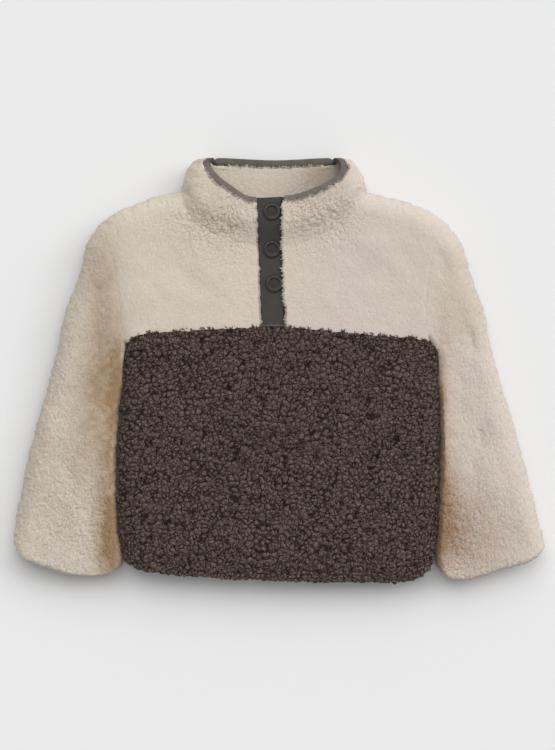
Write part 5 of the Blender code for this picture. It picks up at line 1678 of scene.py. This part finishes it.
# ---------------------------------------------------------------- operators
class PULLOVER_OT_body(Operator):
    """Brown blocks of the front and the back, with turned hems"""

    bl_idname = "pullover.body"
    bl_label = "Body blocks"

    def execute(self, context):
        dress(body_block("front"))
        dress(body_block("back"))
        return {"FINISHED"}


class PULLOVER_OT_yokes(Operator):
    """Cream yokes of the front and the back"""

    bl_idname = "pullover.yokes"
    bl_label = "Yokes"

    def execute(self, context):
        for side in ("left", "right"):
            dress(front_yoke(side))
        dress(back_yoke())
        return {"FINISHED"}


class PULLOVER_OT_sleeves(Operator):
    """Set-in sleeves, each closed along the underarm, with turned cuffs"""

    bl_idname = "pullover.sleeves"
    bl_label = "Sleeves"

    def execute(self, context):
        for side in ("left", "right"):
            dress(sleeve(side))
        return {"FINISHED"}


class PULLOVER_OT_collar(Operator):
    """Both layers of the stand collar"""

    bl_idname = "pullover.collar"
    bl_label = "Collar"

    def execute(self, context):
        dress(collar_layer("collar_outer_fleece", False))
        dress(collar_layer("collar_inner_fleece", True))
        return {"FINISHED"}


class PULLOVER_OT_binding(Operator):
    """Bias binding over the collar's edge"""

    bl_idname = "pullover.binding"
    bl_label = "Neck binding"

    def execute(self, context):
        dress(binding())
        return {"FINISHED"}


class PULLOVER_OT_placket(Operator):
    """Overlap and underlap of the half placket"""

    bl_idname = "pullover.placket"
    bl_label = "Placket"

    def execute(self, context):
        under = STRIP_DEPTH + STRIP_THICK + GAP
        dress(placket_strip("placket_overlap", GAP, UNDERLAP_SHOWS, STRIP_DEPTH))
        dress(placket_strip("placket_underlap", UNDERLAP_SHORT, GAP, under))
        return {"FINISHED"}


class PULLOVER_OT_snaps(Operator):
    """Three snap caps on the overlap, modelled once and copied"""

    bl_idname = "pullover.snaps"
    bl_label = "Snaps"

    def execute(self, context):
        size = context.scene.pullover_snaps
        first = snap_cap(size)
        for kind in ("cap", "rim"):
            first.data.materials.append(cloth(kind))
        # The rims get the lighter metal, partly a painted highlight.
        for polygon in first.data.polygons:
            from_axis = math.hypot(polygon.center.x, polygon.center.y)
            polygon.material_index = int(from_axis > size.diameter / 2 - size.rim - CAP_LIP)
        for node, turn in CAP_TURNS.items():
            foot, axis = snap_place(node)
            cap = bpy.data.objects.new(node.replace("snap", "snap_cap"), first.data.copy())
            context.scene.collection.objects.link(cap)
            way = axis.to_track_quat("Z", "Y").to_matrix().to_4x4()
            cap.data.transform(Matrix.Translation(foot) @ way @ Matrix.Rotation(turn, 4, "Z"))
            place(cap, node, "snap_cap")
        bpy.data.objects.remove(first, do_unlink=True)
        return {"FINISHED"}


class PULLOVER_OT_stage(Operator):
    """Floor, soft light and a camera straight above"""

    bl_idname = "pullover.stage"
    bl_label = "Stage"

    def execute(self, context):
        s = context.scene.pullover_stage
        bpy.ops.object.select_all(action="DESELECT")
        bpy.ops.mesh.primitive_plane_add(size=16.0, location=(0.0, 0.0, 0.0))
        floor = context.active_object
        floor.name = "studio_floor"
        paint = Finish("studio_floor", Roughness=0.9, Specular_IOR_Level=0.1)
        tone = paint.mix(paint.between(paint.noise(0.9, 1.0), 0.4, 0.6, 0.0, 1.0), tuple(s.floor),
                         scaled(tuple(s.floor), 0.995))
        floor.data.materials.append(paint.done(tone, paint.bump(paint.noise(0.004), 0.00002, 0.1)))
        for name, (wide, way) in LAMPS.items():
            light = bpy.data.lights.new(name, "SUN")
            light.energy = getattr(s, name)
            light.angle = wide
            lamp = bpy.data.objects.new(name, light)
            lamp.visible_diffuse = name != "glint"
            lamp.rotation_euler = Vector(way).to_track_quat("Z", "Y").to_euler()
            context.scene.collection.objects.link(lamp)
        world = bpy.data.worlds.new("studio")
        world.use_nodes = True
        sky = world.node_tree.nodes["Background"].inputs
        sky["Color"].default_value = (1.0, 1.0, 1.0, 1.0)
        sky["Strength"].default_value = s.fill
        context.scene.world = world
        lens = bpy.data.cameras.new("camera")
        lens.sensor_width = FILM
        lens.lens = FILM * s.distance / s.view_height
        lens.clip_start, lens.clip_end = 0.1, 20.0
        camera = bpy.data.objects.new("camera", lens)
        camera.location = (*CAMERA_OVER, s.distance + PILE_TOP)
        context.scene.collection.objects.link(camera)
        context.scene.camera = camera
        context.scene.view_settings.view_transform = "Standard"
        return {"FINISHED"}


OPERATORS = (PULLOVER_OT_body, PULLOVER_OT_yokes, PULLOVER_OT_sleeves, PULLOVER_OT_collar,
             PULLOVER_OT_binding, PULLOVER_OT_placket, PULLOVER_OT_snaps, PULLOVER_OT_stage)
GROUPS = {"pullover_colours": PulloverColours, "pullover_snaps": PulloverSnaps,
          "pullover_stage": PulloverStage}


class PULLOVER_PT_panel(Panel):
    """Colours, sizes and the making of the pullover, step by step"""

    bl_idname = "PULLOVER_PT_panel"
    bl_label = "Fleece pullover"
    bl_space_type = "VIEW_3D"
    bl_region_type = "UI"
    bl_category = "Pullover"

    def draw(self, context):
        for group in GROUPS:
            box = self.layout.box()
            settings = getattr(context.scene, group)
            for name in settings.__annotations__:
                box.prop(settings, name)
        for step in OPERATORS:
            self.layout.operator(step.bl_idname)


def register():
    for kind in (*GROUPS.values(), *OPERATORS, PULLOVER_PT_panel):
        bpy.utils.register_class(kind)
    for name, group in GROUPS.items():
        setattr(bpy.types.Scene, name, PointerProperty(type=group))


def unregister():
    for name in GROUPS:
        delattr(bpy.types.Scene, name)
    for kind in (PULLOVER_PT_panel, *reversed(OPERATORS), *GROUPS.values()):
        bpy.utils.unregister_class(kind)


def main():
    register()
    bpy.ops.pullover.body()
    bpy.ops.pullover.yokes()
    bpy.ops.pullover.sleeves()
    bpy.ops.pullover.collar()
    bpy.ops.pullover.binding()
    bpy.ops.pullover.placket()
    bpy.ops.pullover.snaps()
    bpy.ops.pullover.stage()


if __name__ == "__main__":
    main()
